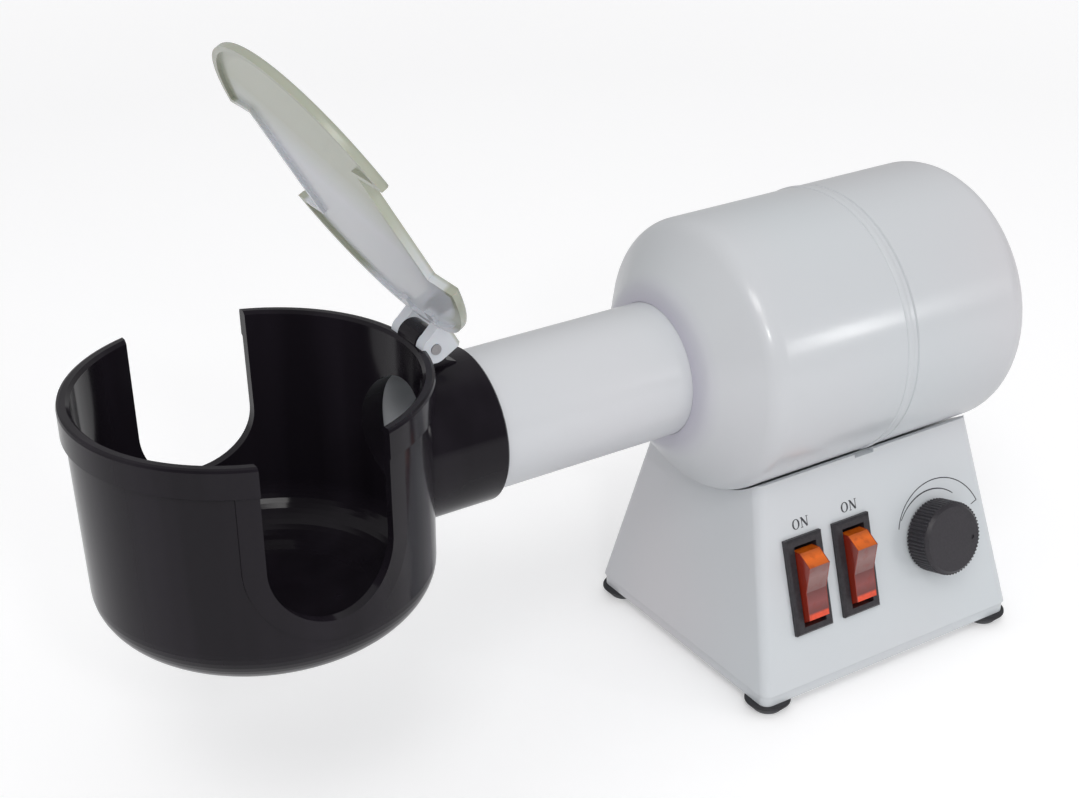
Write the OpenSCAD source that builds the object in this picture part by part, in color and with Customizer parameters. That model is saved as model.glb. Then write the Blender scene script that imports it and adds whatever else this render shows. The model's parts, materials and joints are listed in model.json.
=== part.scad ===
// Eyeglass frame warmer: a fan and a heater in a drum blow hot air along a tube
// into an open cup with a hinged lid.
// Millimetres, +Z up, +X from the cup to the drum. The control panel faces -Y.
// The origin lies on the table, under the middle of the whole length.

/* [Base] */
// Length of the base at its lower edge
base_len = 102.4; // [90:0.2:125]
// Width of the base at its lower edge
base_wid = 90; // [78:0.5:110]
// Length of the base at its top edge
base_top_len = 86.3; // [76:0.1:100]
// Width of the base at its top edge
base_top_wid = 53.6; // [44:0.2:62]
// Height of the folded steel housing
base_h = 63.5; // [56:0.5:80]
// Thickness of the housing's steel sheet
base_sheet = 1.2; // [0.8:0.1:1.6]
// Bend radius of the housing's upright edges
base_bend_r = 3; // [2:0.5:5]
// Height of the bottom pan's rim
pan_h = 3.6; // [3:0.2:8]
// Height of the rubber feet
foot_h = 4; // [4:0.5:9]
// Top diameter of the rubber feet
foot_d = 14.5; // [13:0.5:17]
// Distance of the feet's centres in from the pan's edges
foot_inset = 5.6; // [5.4:0.2:7]

/* [Drum] */
// Outer diameter of the drum
drum_d = 85; // [78:0.5:92]
// Height of the drum's axis above the base's top edge
drum_rise = 34.7; // [33.5:0.1:36]
// Wall of both drum shells
drum_wall = 1; // [0.8:0.1:1.4]
// Length of the drum's straight wall in front of the seam
front_run = 47.5; // [42:0.5:60]
// Length of the drum's straight wall behind the seam
rear_run = 39.5; // [38:0.5:52]
// Length from the tube's junction to the straight wall
nose_len = 18; // [16:0.2:24]
// Length of the rounded rear corner
rear_round_len = 12; // [8:0.5:14]
// Distance of the seam behind the base's centre
seam_offset = 3.5; // [0:0.5:8]

/* [Tube and cup] */
// Outer diameter of the air tube
tube_d = 40.9; // [36:0.1:44]
// Wall of the air tube
tube_wall = 1; // [0.8:0.1:1.6]
// Distance from the base's centre to the cup's centre
cup_reach = 191; // [175:1:215]
// Outer diameter of the cup's rim
rim_d = 96.9; // [88:0.1:110]
// Height of the cup from its bottom to its rim
cup_h = 69; // [62:0.5:82]
// Height of the rim above the drum's axis
rim_rise = 30.6; // [29:0.1:34]
// Thickness of the cup's wall
cup_wall = 2.15; // [1.6:0.05:3]
// Height of the thicker band at the rim
band_h = 8; // [5:0.5:12]
// Width of the two slots for the eyeglass frame
slot_w = 34.6; // [28:0.2:40]
// Depth of the slots below the rim
slot_depth = 46.9; // [40:0.1:50]
// Width of the raised border round each slot
border_w = 5.3; // [3:0.1:6]
// Outer diameter of the collar that holds the tube
collar_d = 45.2; // [44:0.1:50]
// Distance from the cup's centre to the collar's end
collar_reach = 64.8; // [60:0.2:76]

/* [Lid] */
// Diameter of the lid
lid_d = 93.4; // [86:0.2:100]
// Depth of the lid's turned-down edge
lid_edge_h = 2.6; // [2.4:0.1:4]
// Height of the lid's top above the hinge pin when it is closed
lid_rise = 6.5; // [6:0.1:8]
// Thickness of the lid's plate
lid_plate = 1.5; // [1.2:0.1:2]
// Distance between the lid's two straight side cuts
lid_cut_w = 62; // [56:1:80]
// Angle by which the lid stands open
lid_open = 60; // [20:0.2:100]
// Diameter of the hinge pin
pin_d = 3; // [2:0.2:4]

/* [Controls] */
// Width of each switch's bezel
bezel_w = 14.4; // [14:0.1:16]
// Length of each switch's bezel
bezel_l = 31; // [30:0.5:33]
// Height of the switches and the knob up the panel's slope
control_v = 31.8; // [28:0.2:38]
// Distance from the panel's middle line to the power switch
power_u = -29.6; // [-33:0.2:-27]
// Distance from the panel's middle line to the heat switch
heat_u = -10.4; // [-12:0.2:-9]
// Distance from the panel's middle line to the knob
knob_u = 23.1; // [21:0.1:27]
// Diameter of the knob
knob_d = 23.8; // [20:0.2:28]
// Swing of a rocker to each side of its middle
rocker_swing = 11.5; // [8:0.5:13]
// Number of ribs round the knob
knob_ribs = 60; // [36:4:72]

/* [Fan and heater] */
// Diameter of the fan
fan_d = 76; // [64:1:78]
// Number of fan blades
fan_blades = 7; // [5:1:9]
// Pitch of the fan blades at the tip
blade_pitch = 34; // [25:1:42]
// Diameter of the motor's can
motor_d = 27.7; // [24:0.1:32]
// Length of the motor's can
motor_len = 26; // [22:0.5:30]
// Turns of the heater coil
coil_turns = 9; // [6:1:12]

/* [Hidden] */

// Clearances
gap_seat = 0.3;      // between pieces that sit on each other
gap_run = 0.05;      // round a pin or a shaft that turns
gap_screw = 0.05;    // round a screw in its thread
gap_slide = 0.1;     // round the tube in its collar
gap_saddle = 0.6;    // between the drum's wall and the saddle

// Heights and places along the object
front_reach = cup_reach + rim_d / 2;
rear_reach = seam_offset + rear_run + rear_round_len + 1.7;   // with the screw heads
base_x = (front_reach - rear_reach) / 2;
base_z = foot_h + pan_h;
base_top_z = base_z + base_h;
axis_z = base_top_z + drum_rise;
cup_x = base_x - cup_reach;
rim_z = axis_z + rim_rise;

// Drum
drum_r = drum_d / 2;
seam_x = seam_offset;
nose_x = seam_x - front_run;                 // where the straight wall starts
neck_x = nose_x - nose_len;                  // where the tube comes out
rear_x = seam_x + rear_run;
back_x = rear_x + rear_round_len;            // the flat back
back_flat_r = drum_r - 18.5;                 // flat disc of the back
cone_r = drum_r - 6;                         // outer end of the nose's cone
cone_x = nose_x - 6;
bead_h = 0.4;
lip_len = 5;
tube_r = tube_d / 2;
saddle_r = drum_r + gap_saddle;
saddle_screw_x = [-27, 27];
saddle_screw_r = 2;
grommet_x = -10;
grommet_r = 5;

// Panel
panel_run = (base_wid - base_top_wid) / 2;
panel_tilt = atan(panel_run / base_h);

// Switches
switch_body_w = bezel_w - 2.4;
switch_body_l = bezel_l - 3.6;
switch_body_depth = 18;
bezel_t = 2;
rocker_w = 8;
rocker_gap = 0.3;
rocker_pivot_n = -2.6;
rocker_half_l = 12.2;
stub_r = 1.2;

// Knob and dial
knob_base_n = 0.8;
knob_face_n = 9.4;
dial_shaft_r = 3;
dial_bush_r = 4.5;
dial_body_r = 8.2;

// Cup
rim_r = rim_d / 2;
wall_top_r = rim_r - 1.25;
wall_low_r = wall_top_r - 0.8;
cup_in_r = wall_top_r - cup_wall;
cup_z = rim_z - cup_h;
foot_curve_r = 24;
foot_curve_h = 15.5;
slot_r = slot_w / 2;
slot_arc_z = rim_z - slot_depth + slot_r;
collar_r = collar_d / 2;
tube_stop_x = cup_x + wall_top_r + 0.2;

// Hinge
pin_r = pin_d / 2;
pin_x = cup_x + rim_r + 2.05;
pin_z = rim_z - 0.8;
lug_half = 4.7;
ear_t = 4;
ear_in = lug_half + gap_seat;
ear_out = ear_in + ear_t;
ear_r = 4;
lid_top = lid_rise;
lid_reach = pin_x - cup_x;
lid_r = lid_d / 2;

// Screws
m3_r = 1.5;
m3_head_r = 2.8;
m3_head_h = 1.8;
foot_x = base_len / 2 - foot_inset;
foot_y = base_wid / 2 - foot_inset;
tab_t = 1.6;

// Inside the drum
bracket_x = back_x - drum_wall - 6;
motor_x = bracket_x - 2;
fan_x = motor_x - motor_len - 12;
post_pcd_r = back_flat_r - 5;
shield_r = drum_r - 8;
board_z = base_z + 6;

$fn = 96;

// ---- Shared shapes -------------------------------------------------------

// Local z runs along the drum's axis towards +X
module on_axis() { translate([base_x, 0, axis_z]) rotate([0, 90, 0]) children(); }

module on_base() { translate([base_x, 0, 0]) children(); }

// Local x runs along the panel, local y up its slope, local z outwards
module on_panel(u = 0, v = 0) {
    translate([base_x, -base_wid / 2, base_z])
        rotate([90 - panel_tilt, 0, 0]) translate([u, v, 0]) children();
}

// The same on the rear wall: local z points out of the back
module on_rear_wall(u = 0, v = 0) {
    translate([base_x, base_wid / 2, base_z])
        rotate([90 - panel_tilt, 0, 180]) translate([u, v, 0]) children();
}

module at_corners(x, y) {
    for (sx = [-1, 1], sy = [-1, 1]) translate([sx * x, sy * y, 0]) children();
}

module around(count, start = 0) {
    for (i = [0 : count - 1]) rotate([0, 0, start + i * 360 / count]) children();
}

module rounded_prism(l, w, h, r) {
    hull() at_corners(l / 2 - r, w / 2 - r) cylinder(r = r, h = h, $fn = 32);
}

module ring(r_out, r_in, h) {
    difference() {
        cylinder(r = r_out, h = h);
        translate([0, 0, -1]) cylinder(r = r_in, h = h + 2);
    }
}

module box(size, z = 0) {
    translate([-size.x / 2, -size.y / 2, z]) cube(size);
}

// Points of a quarter ellipse round a centre, from angle a0 to a1
function arc(c, rx, ry, a0, a1, n = 12) =
    [for (i = [0 : n]) let (a = a0 + (a1 - a0) * i / n) c + [rx * cos(a), ry * sin(a)]];

// ---- Base ----------------------------------------------------------------

// Solid truncated pyramid, drawn in by the given amount on every side
module pyramid(inset = 0, r = base_bend_r) {
    skin = 0.01;
    hull() {
        translate([0, 0, base_z])
            at_corners(base_len / 2 - r - inset, base_wid / 2 - r - inset)
                cylinder(r = r, h = skin, $fn = 32);
        translate([0, 0, base_top_z - skin])
            at_corners(base_top_len / 2 - r - inset, base_top_wid / 2 - r - inset)
                cylinder(r = r, h = skin, $fn = 32);
    }
}

module axis_cylinder(r, len) {
    translate([-len / 2, 0, axis_z]) rotate([0, 90, 0]) cylinder(r = r, h = len);
}

module switch_cutout(u) {
    on_panel(u, control_v)
        box([switch_body_w + 2 * gap_seat, switch_body_l + 2 * gap_seat, 12], -6);
}

module base_housing() color("gainsboro") {
    gland_hole_r = 6;
    difference() {
        union() {
            on_base() difference() {
                pyramid();
                difference() {
                    translate([0, 0, -0.02]) pyramid(base_sheet, base_bend_r - base_sheet);
                    axis_cylinder(saddle_r + base_sheet, base_len);
                }
            }
            // turned-in corner tabs that take the foot screws
            on_base() intersection() {
                pyramid(0.2);
                at_corners(foot_x + 1, foot_y + 1) box([13, 13, tab_t], base_z);
            }
        }
        on_base() axis_cylinder(saddle_r, base_len);
        switch_cutout(power_u);
        on_base() translate([-0.8, -base_top_wid / 2, base_top_z - 1]) box([7.6, 5, 2]);
        switch_cutout(heat_u);
        on_panel(knob_u, control_v) translate([0, 0, -6]) cylinder(r = dial_bush_r + 0.15, h = 12);
        on_rear_wall(-gland_u, gland_v) translate([0, 0, -6]) cylinder(r = gland_hole_r, h = 12);
        on_base() at_corners(foot_x, foot_y)
            translate([0, 0, base_z - 1]) cylinder(r = m3_r + gap_screw, h = tab_t + 2);
        on_base() for (x = saddle_screw_x) translate([x, 0, axis_z - saddle_r - 5])
            cylinder(r = saddle_screw_r + 0.2, h = 8);
        on_base() translate([grommet_x, 0, axis_z - saddle_r - 5]) cylinder(r = grommet_r, h = 8);
    }
}

module bottom_pan() color("gainsboro") {
    pan_inset = 0.4;
    l = base_len - 2 * pan_inset;
    w = base_wid - 2 * pan_inset;
    on_base() difference() {
        translate([0, 0, foot_h]) rounded_prism(l, w, pan_h, base_bend_r);
        translate([0, 0, foot_h + base_sheet])
            rounded_prism(l - 2 * base_sheet, w - 2 * base_sheet, pan_h, base_bend_r - base_sheet);
        at_corners(foot_x, foot_y) translate([0, 0, foot_h - 1]) cylinder(r = m3_r + 0.2, h = 4);
        // slots that let the base breathe
        for (i = [-3 : 3]) translate([i * 7, 0, foot_h - 1]) {
            box([2.4, 24, 4]);
            for (s = [-1, 1]) translate([0, s * 12, 0]) cylinder(r = 1.2, h = 4, $fn = 24);
        }
    }
}

module rubber_feet() color("#26272b") {
    top_r = foot_d / 2;
    low_r = top_r - 2.4;
    on_base() at_corners(foot_x, foot_y) rotate_extrude() polygon(concat(
        [[m3_r + 0.15, 2.4], [m3_head_r + 0.3, 2.4], [m3_head_r + 0.3, 0], [low_r - 0.8, 0]],
        arc([low_r - 0.8, 0.8], 0.8, 0.8, -90, -20, 4),
        [[top_r, foot_h - 0.8]],
        arc([top_r - 0.6, foot_h - 0.6], 0.6, 0.6, 0, 90, 4),
        [[m3_r + 0.15, foot_h]]));
}

module foot_screws() color("silver") on_base() at_corners(foot_x, foot_y) {
    translate([0, 0, 0.6]) difference() {
        cylinder(r = m3_head_r, h = m3_head_h - 0.05);
        translate([0, 0, -0.1]) for (a = [0, 90]) rotate([0, 0, a]) box([3.4, 0.8, 0.9]);
    }
    translate([0, 0, 2.35]) cylinder(r = m3_r, h = base_z + tab_t - 0.6);
}

// ---- Controls ------------------------------------------------------------

module bezel() {
    // flat frame with a bevelled edge all round
    bevel = 0.7;
    intersection() {
        rotate([90, 0, 90]) translate([0, 0, -bezel_w / 2]) linear_extrude(bezel_w) polygon([
            [-bezel_l / 2, 0.1], [bezel_l / 2, 0.1], [bezel_l / 2, bezel_t - bevel],
            [bezel_l / 2 - bevel, bezel_t], [bevel - bezel_l / 2, bezel_t], [-bezel_l / 2, bezel_t - bevel]]);
        rotate([90, 0, 0]) translate([0, 0, -bezel_l / 2]) linear_extrude(bezel_l) polygon([
            [-bezel_w / 2, 0.1], [bezel_w / 2, 0.1], [bezel_w / 2, bezel_t - bevel],
            [bezel_w / 2 - bevel, bezel_t], [bevel - bezel_w / 2, bezel_t], [-bezel_w / 2, bezel_t - bevel]]);
    }
}

module switch_body(u) color("#2c2a30") on_panel(u, control_v) difference() {
    union() {
        bezel();
        box([switch_body_w, switch_body_l, switch_body_depth + 0.5], -switch_body_depth);
        // snap wedges that grip behind the panel
        for (s = [-1, 1]) translate([0, s * switch_body_l / 2, 0]) rotate([90, 0, 90])
            translate([0, 0, -3]) linear_extrude(6)
                polygon([[-0.5 * s, -1.6], [1.1 * s, -1.8], [-0.5 * s, -8]]);
    }
    box([rocker_w + 2 * rocker_gap, 2 * (rocker_half_l + 0.9), 20], -9);
    translate([-bezel_w, 0, rocker_pivot_n]) rotate([0, 90, 0])
        cylinder(r = stub_r + gap_run, h = 2 * bezel_w);
}

// The rocker at rest: its upper end stands out, its lower end is pressed in
module rocker(u) color("orangered") on_panel(u, control_v)
    translate([0, 0, rocker_pivot_n]) rotate([rocker_swing, 0, 0]) {
        l = rocker_half_l;
        rotate([90, 0, 90]) translate([0, 0, -rocker_w / 2]) linear_extrude(rocker_w) polygon([
            [-l, 4.1], [3.2 - l, 8.9], [0, 7.3], [l - 3.2, 8.9], [l, 4.1],
            [l - 0.4, 0.5], [4, -3.2], [-4, -3.2], [0.4 - l, 0.5]]);
        translate([-rocker_w / 2 - 0.9, 0, 0]) rotate([0, 90, 0])
            cylinder(r = stub_r, h = rocker_w + 1.8);
    }

module power_switch_body() switch_body(power_u);
module heat_switch_body() switch_body(heat_u);
module power_rocker() rocker(power_u);
module heat_rocker() rocker(heat_u);

module switch_terminals() color("gold")
    for (u = [power_u, heat_u], v = [-9, 0, 9]) on_panel(u, control_v + v)
        difference() {
            box([4.8, 0.8, 8], -switch_body_depth - 8);
            translate([0, 3, -switch_body_depth - 6]) rotate([90, 0, 0])
                cylinder(r = 0.8, h = 6, $fn = 24);
        }

// Outline of the ribbed rim: one tooth for every rib
function knob_outline(n, r_out, r_in) = [for (i = [0 : 4 * n - 1])
    let (a = i * 90 / n, r = (i % 4 < 2) ? r_out : r_in) [r * cos(a), r * sin(a)]];

module heat_knob() color("#38363b") on_panel(knob_u, control_v) difference() {
    r = knob_d / 2;
    union() {
        translate([0, 0, knob_base_n]) linear_extrude(knob_face_n - knob_base_n - 1)
            polygon(knob_outline(knob_ribs, r, r - 0.45));
        // smooth bevelled face
        translate([0, 0, knob_base_n]) rotate_extrude() polygon([
            [0, 0], [r - 0.5, 0], [r - 0.5, knob_face_n - knob_base_n - 0.9],
            [r - 1.4, knob_face_n - knob_base_n], [0, knob_face_n - knob_base_n]]);
    }
    // hollow underside over the nut, and the blind bore for the shaft
    translate([0, 0, -1]) cylinder(r = 8.6, h = knob_base_n + 5.4);
    translate([0, 0, -1]) cylinder(r = dial_shaft_r + 0.02, h = knob_face_n - 0.4);
    // dimple that marks the setting
    rotate([0, 0, pointer_angle]) translate([r - 4, 0, knob_face_n - 0.4])
        cylinder(r = 0.7, h = 2, $fn = 32);
}

module dial_shaft() color("silver") on_panel(knob_u, control_v)
    translate([0, 0, -8]) cylinder(r = dial_shaft_r, h = 8 + knob_face_n - 1.6);

module dial_body() color("slategray") on_panel(knob_u, control_v) {
    can_n = -base_sheet - 0.1;
    difference() {
        union() {
            translate([0, 0, can_n - 8.4]) cylinder(r = dial_body_r, h = 8.4);
            translate([0, 0, can_n - 0.5]) cylinder(r = dial_bush_r, h = 6.4);
            // wafer that carries the three solder tags
            translate([0, -dial_body_r, can_n - 5]) box([12, 8, 1.6]);
        }
        translate([0, 0, -8.2]) cylinder(r = dial_shaft_r + gap_run, h = 20);
    }
    for (u = [-4, 0, 4]) translate([u, -dial_body_r - 6, can_n - 5]) box([1.6, 5, 0.6], 0.5);
}

module dial_nut() color("silver") on_panel(knob_u, control_v) difference() {
    translate([0, 0, 0.1]) union() {
        cylinder(r = 7, h = 0.6);
        translate([0, 0, 0.5]) cylinder(r = 6.6, h = 2, $fn = 6);
    }
    translate([0, 0, -1]) cylinder(r = dial_bush_r + gap_screw, h = 6);
}

// ---- Electrics in the base -----------------------------------------------

board_l = 60;
board_w = 36;
board_holes = [board_l / 2 - 3.5, board_w / 2 - 3.5];
board_at = [4, 4];
gland_u = 30;
gland_v = 17;
pointer_angle = -11;

module on_board() { on_base() translate([board_at.x, board_at.y, 0]) children(); }

module control_board() color("darkgreen") on_board() difference() {
    box([board_l, board_w, 1.6], board_z);
    at_corners(board_holes.x, board_holes.y)
        translate([0, 0, board_z - 1]) cylinder(r = m3_r + 0.1, h = 4, $fn = 32);
}

module board_standoffs() color("ivory") on_board() at_corners(board_holes.x, board_holes.y) {
    floor_z = foot_h + base_sheet;
    translate([0, 0, floor_z]) cylinder(r = 2.6, h = board_z - floor_z, $fn = 32);
    translate([0, 0, board_z - 0.5]) cylinder(r = m3_r, h = 3, $fn = 32);
    translate([0, 0, board_z + 1.7]) cylinder(r = 2.2, h = 1.2, $fn = 32);
}

module board_parts() on_board() translate([0, 0, board_z + 1.6]) {
    // mains capacitor, choke, relay and two resistors
    color("goldenrod") translate([-17, 9, 0]) box([16, 8, 12]);
    color("saddlebrown") translate([2, 8, 0]) ring(6.5, 3, 7);
    color("royalblue") translate([-14, -7, 0]) box([15, 10, 11]);
    color("tan") for (y = [-4, -10]) translate([2, y, 1.8]) rotate([0, 90, 0])
        cylinder(r = 1.5, h = 8, center = true, $fn = 32);
    color("tan") for (y = [-4, -10], x = [-5, 5]) translate([2 + x, y, 0])
        cylinder(r = 0.4, h = 1.9, $fn = 16);
    color("#222222") for (x = [14, 17.5, 21]) translate([x, 10, 0])
        cylinder(r = 0.5, h = 4, $fn = 16);
}

module triac_heatsink() color("silver") on_board() translate([17.5, 0, board_z + 1.6 + 0.1]) {
    difference() {
        box([18, 9, 16]);
        for (i = [-2 : 2]) translate([i * 3.4, -1.6, 2]) box([1.8, 9, 20]);
    }
    translate([0, 5.1, 4]) box([10, 1.2, 10]);
}

module terminal_block() color("ivory") on_base()
    translate([-14, 32, foot_h + base_sheet]) difference() {
        box([32, 11, 12]);
        for (i = [-1.5 : 1.5]) translate([i * 7.6, 0, 0]) {
            translate([0, 0, 5]) cylinder(r = 1.8, h = 10, $fn = 32);
            translate([0, 8, 6]) rotate([90, 0, 0]) cylinder(r = 1.4, h = 16, $fn = 32);
        }
    }

// Snap-in bush in the rear wall, where the mains lead goes in
module cable_gland() color("#232326") on_rear_wall(-gland_u, gland_v) difference() {
    union() {
        translate([0, 0, 0.1]) rotate_extrude() polygon([
            [0, 0], [8, 0], [8, 2], [7, 3], [5.6, 3.4], [5, 6.7], [0, 6.7]]);
        translate([0, 0, -6]) cylinder(r = 5.85, h = 6.4);
    }
    translate([0, 0, -8]) cylinder(r = 3.5, h = 20);
}

module saddle_screws() color("silver") on_base() for (x = saddle_screw_x) translate([x, 0, 0]) {
    seat_z = axis_z - saddle_r - base_sheet;
    translate([0, 0, seat_z - 1.1]) ring(4.5, saddle_screw_r + 0.05, 0.9);
    translate([0, 0, seat_z - 3.6]) difference() {
        cylinder(r = 3.6, h = 2.5);
        translate([0, 0, -0.1]) for (a = [0, 90]) rotate([0, 0, a]) box([4.4, 1, 1.2]);
    }
    translate([0, 0, seat_z - 1.3]) cylinder(r = saddle_screw_r, h = 8.4);
}

module saddle_nuts() color("silver") on_base() for (x = saddle_screw_x)
    translate([x, 0, axis_z - drum_r + drum_wall + 0.3]) difference() {
        cylinder(r = 4, h = 3.2, $fn = 6);
        translate([0, 0, -1]) cylinder(r = saddle_screw_r + gap_screw, h = 6);
    }

module wire_grommet() color("#232326") on_base() translate([grommet_x, 0, 0]) {
    low_z = axis_z - saddle_r - base_sheet - 2.2;
    top_z = axis_z - drum_r + drum_wall + 2.2;
    difference() {
        union() {
            translate([0, 0, low_z]) cylinder(r = grommet_r + 1.5, h = 1.9);
            translate([0, 0, low_z + 1]) cylinder(r = grommet_r - 0.15, h = top_z - low_z - 2);
            translate([0, 0, top_z - 1.4]) cylinder(r = grommet_r + 1.5, h = 1.9);
        }
        translate([0, 0, low_z - 1]) cylinder(r = 3, h = top_z - low_z + 4);
    }
}

// ---- Drum ----------------------------------------------------------------

// Slope of the nose's cone, and a point of its skin at depth d inside
cone_angle = atan2(cone_r - tube_r, cone_x - neck_x);
function cone_point(r, d) = [r, neck_x + (r - tube_r) / tan(cone_angle) + d / sin(cone_angle)];

module drum_front_shell() color("whitesmoke") on_axis() difference() {
    hole_r = tube_r + gap_slide;
    w = drum_wall;
    bead_x = seam_x - 2.6;
    rotate_extrude() polygon(concat(
        [cone_point(hole_r, 0)],
        [for (p = arc([cone_r, nose_x], drum_r - cone_r, nose_x - cone_x, -90, 0, 14)) p],
        [[drum_r, bead_x - 1.4]],
        arc([drum_r, bead_x], bead_h, 1.2, -80, 80, 8),
        [[drum_r, seam_x], [drum_r - w, seam_x]],
        [for (p = arc([cone_r, nose_x], drum_r - cone_r - w, nose_x - cone_x - w * 0.8, 0, -80, 14)) p],
        [cone_point(cone_r - 1, w), cone_point(hole_r, w)]));
    shell_holes();
}

// Holes in the drum's wall: two screws into the saddle, and the wires
module shell_holes() {
    for (x = saddle_screw_x) translate([drum_r, 0, x]) rotate([0, 90, 0])
        cylinder(r = saddle_screw_r + 0.2, h = 8, center = true);
    translate([drum_r, 0, grommet_x]) rotate([0, 90, 0]) cylinder(r = grommet_r, h = 8, center = true);
}

module drum_rear_cover() color("whitesmoke") on_axis() difference() {
    w = drum_wall;
    lip_r = drum_r - w - 0.15;
    corner = drum_r - back_flat_r;
    rotate_extrude() polygon(concat(
        [[lip_r - w, seam_x - lip_len], [lip_r, seam_x - lip_len], [lip_r, seam_x + 0.4],
         [drum_r - 0.4, seam_x + 0.4], [drum_r, seam_x + 0.8], [drum_r, rear_x]],
        [for (p = arc([back_flat_r, rear_x], corner, rear_round_len, 4, 90, 14)) p],
        [[0, back_x], [0, back_x - w]],
        [for (p = arc([back_flat_r, rear_x], corner - w, rear_round_len - w, 90, 0, 14)) p],
        [[drum_r - w, seam_x + 3], [lip_r - w, seam_x + 3]]));
    shell_holes();
    // three rings of curved intake slots, with three ribs left standing
    for (r = [9, 14.2, 19.4]) around(3, 15) rotate_extrude(angle = 90)
        translate([r, back_x - 4]) square([3, 8]);
    around(3) translate([post_pcd_r, 0, back_x - 4]) cylinder(r = m3_r + 0.2, h = 8);
}

module cover_screws() color("silver") on_axis() around(3)
    translate([post_pcd_r, 0, 0]) {
        translate([0, 0, back_x - drum_wall - 6]) cylinder(r = m3_r, h = 7.2);
        translate([0, 0, back_x + 0.1]) difference() {
            cylinder(r = m3_head_r, h = m3_head_h - 0.2);
            translate([0, 0, 0.8]) for (a = [0, 90]) rotate([0, 0, a]) box([3.4, 0.8, 2]);
        }
    }

// ---- Fan -----------------------------------------------------------------

module motor_bracket() color("#2b2b2e") on_axis() difference() {
    union() {
        translate([0, 0, bracket_x - 2]) cylinder(r = motor_d / 2 + 2, h = 2);
        around(3) {
            translate([post_pcd_r / 2, 0, bracket_x - 2]) box([post_pcd_r, 9, 2]);
            translate([post_pcd_r, 0, bracket_x - 2]) cylinder(r = 4.5, h = 7.7);
        }
    }
    translate([0, 0, bracket_x - 5]) cylinder(r = 5.2, h = 10);
    around(3) translate([post_pcd_r, 0, bracket_x - 5]) cylinder(r = m3_r + gap_screw, h = 20);
    around(2, 30) translate([8.5, 0, bracket_x - 5]) cylinder(r = 1.35, h = 10, $fn = 32);
}

module motor_screws() color("silver") on_axis() around(2, 30) translate([8.5, 0, 0]) {
    translate([0, 0, bracket_x + 0.1]) cylinder(r = 2.3, h = 1.5, $fn = 32);
    translate([0, 0, bracket_x - 4.6]) cylinder(r = 1.25, h = 5, $fn = 32);
}

// Deep-drawn steel can, open at the end with the fan
module motor_can() color("silver") on_axis() difference() {
    union() {
        translate([0, 0, motor_x - motor_len]) cylinder(r = motor_d / 2, h = motor_len - 0.1);
        translate([0, 0, motor_x - 0.2]) cylinder(r = 5, h = 2);
    }
    translate([0, 0, motor_x - motor_len - 1]) cylinder(r = motor_d / 2 - 1, h = motor_len - 0.2);
    translate([0, 0, motor_x - 3]) cylinder(r = motor_shaft_r + gap_run, h = 8);
    around(2, 30) translate([8.5, 0, motor_x - 3]) cylinder(r = 1.3, h = 4, $fn = 32);
}

motor_shaft_r = 1.5;
can_floor_x = motor_x - 1.2;

module motor_endcap() color("ivory") on_axis() difference() {
    union() {
        translate([0, 0, motor_x - motor_len + 0.2]) cylinder(r = motor_d / 2 - 1.1, h = 2.6);
        translate([0, 0, motor_x - motor_len - 1.6]) cylinder(r = 4.5, h = 2);
        // brush terminals
        around(2, 90) translate([6.5, 0, motor_x - motor_len - 3]) box([0.6, 3, 4]);
    }
    translate([0, 0, motor_x - motor_len - 3]) cylinder(r = motor_shaft_r + gap_run, h = 8);
}

module motor_magnets() color("dimgray") on_axis() {
    r = motor_d / 2 - 1.1;
    around(2, 25) rotate_extrude(angle = 130)
        translate([r - 2.6, motor_x - motor_len + 5]) square([2.5, motor_len - 8]);
}

module motor_armature() color("sienna") on_axis() difference() {
    r = motor_d / 2 - 4.5;
    union() {
        translate([0, 0, motor_x - motor_len + 6.5]) cylinder(r = r, h = motor_len - 12);
        translate([0, 0, motor_x - motor_len + 3.2]) cylinder(r = 3, h = 4);
    }
    around(5) translate([r, 0, motor_x - motor_len + 10]) box([5, 2, motor_len], -4);
    translate([0, 0, motor_x - motor_len]) cylinder(r = motor_shaft_r, h = motor_len);
}

module motor_shaft() color("silver") on_axis()
    translate([0, 0, fan_x + 1.5]) cylinder(r = motor_shaft_r, h = motor_x + 1.6 - fan_x - 1.5);

// Axial fan: a capped hub with curved blades set at a pitch
module fan_impeller() color("#2f2f33") on_axis() {
    hub_r = 11;
    hub_l = 10;
    blade_t = 1.4;
    blade_bow_r = 17;
    difference() {
        union() {
            translate([0, 0, fan_x]) cylinder(r = hub_r, h = hub_l);
            intersection() {
                translate([0, 0, fan_x + 0.5]) ring(fan_d / 2, 6, hub_l - 1);
                around(fan_blades) translate([0, 0, fan_x + hub_l / 2])
                    rotate([0, 90, 0]) rotate([0, 0, 90 - blade_pitch])
                        translate([-blade_bow_r, 0, 8]) linear_extrude(fan_d / 2)
                            difference() {
                                circle(r = blade_bow_r + blade_t / 2);
                                circle(r = blade_bow_r - blade_t / 2);
                                translate([-2 * blade_bow_r - 6, -blade_bow_r - 5])
                                    square([3 * blade_bow_r, 2 * blade_bow_r + 10]);
                            }
            }
        }
        translate([0, 0, fan_x + 2]) difference() {
            cylinder(r = hub_r - 1.4, h = hub_l);
            translate([0, 0, -1]) cylinder(r = 3.2, h = hub_l + 2);
        }
        translate([0, 0, fan_x + 1.4]) cylinder(r = motor_shaft_r, h = hub_l + 2);
    }
}

// ---- Heater --------------------------------------------------------------

shield_back_x = seam_x - 9;
shield_wall = 0.6;
flare_r = tube_r + 5;
flare_depth = drum_wall + 0.2;
shield_depth = flare_depth + tube_wall + 0.25;

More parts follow.
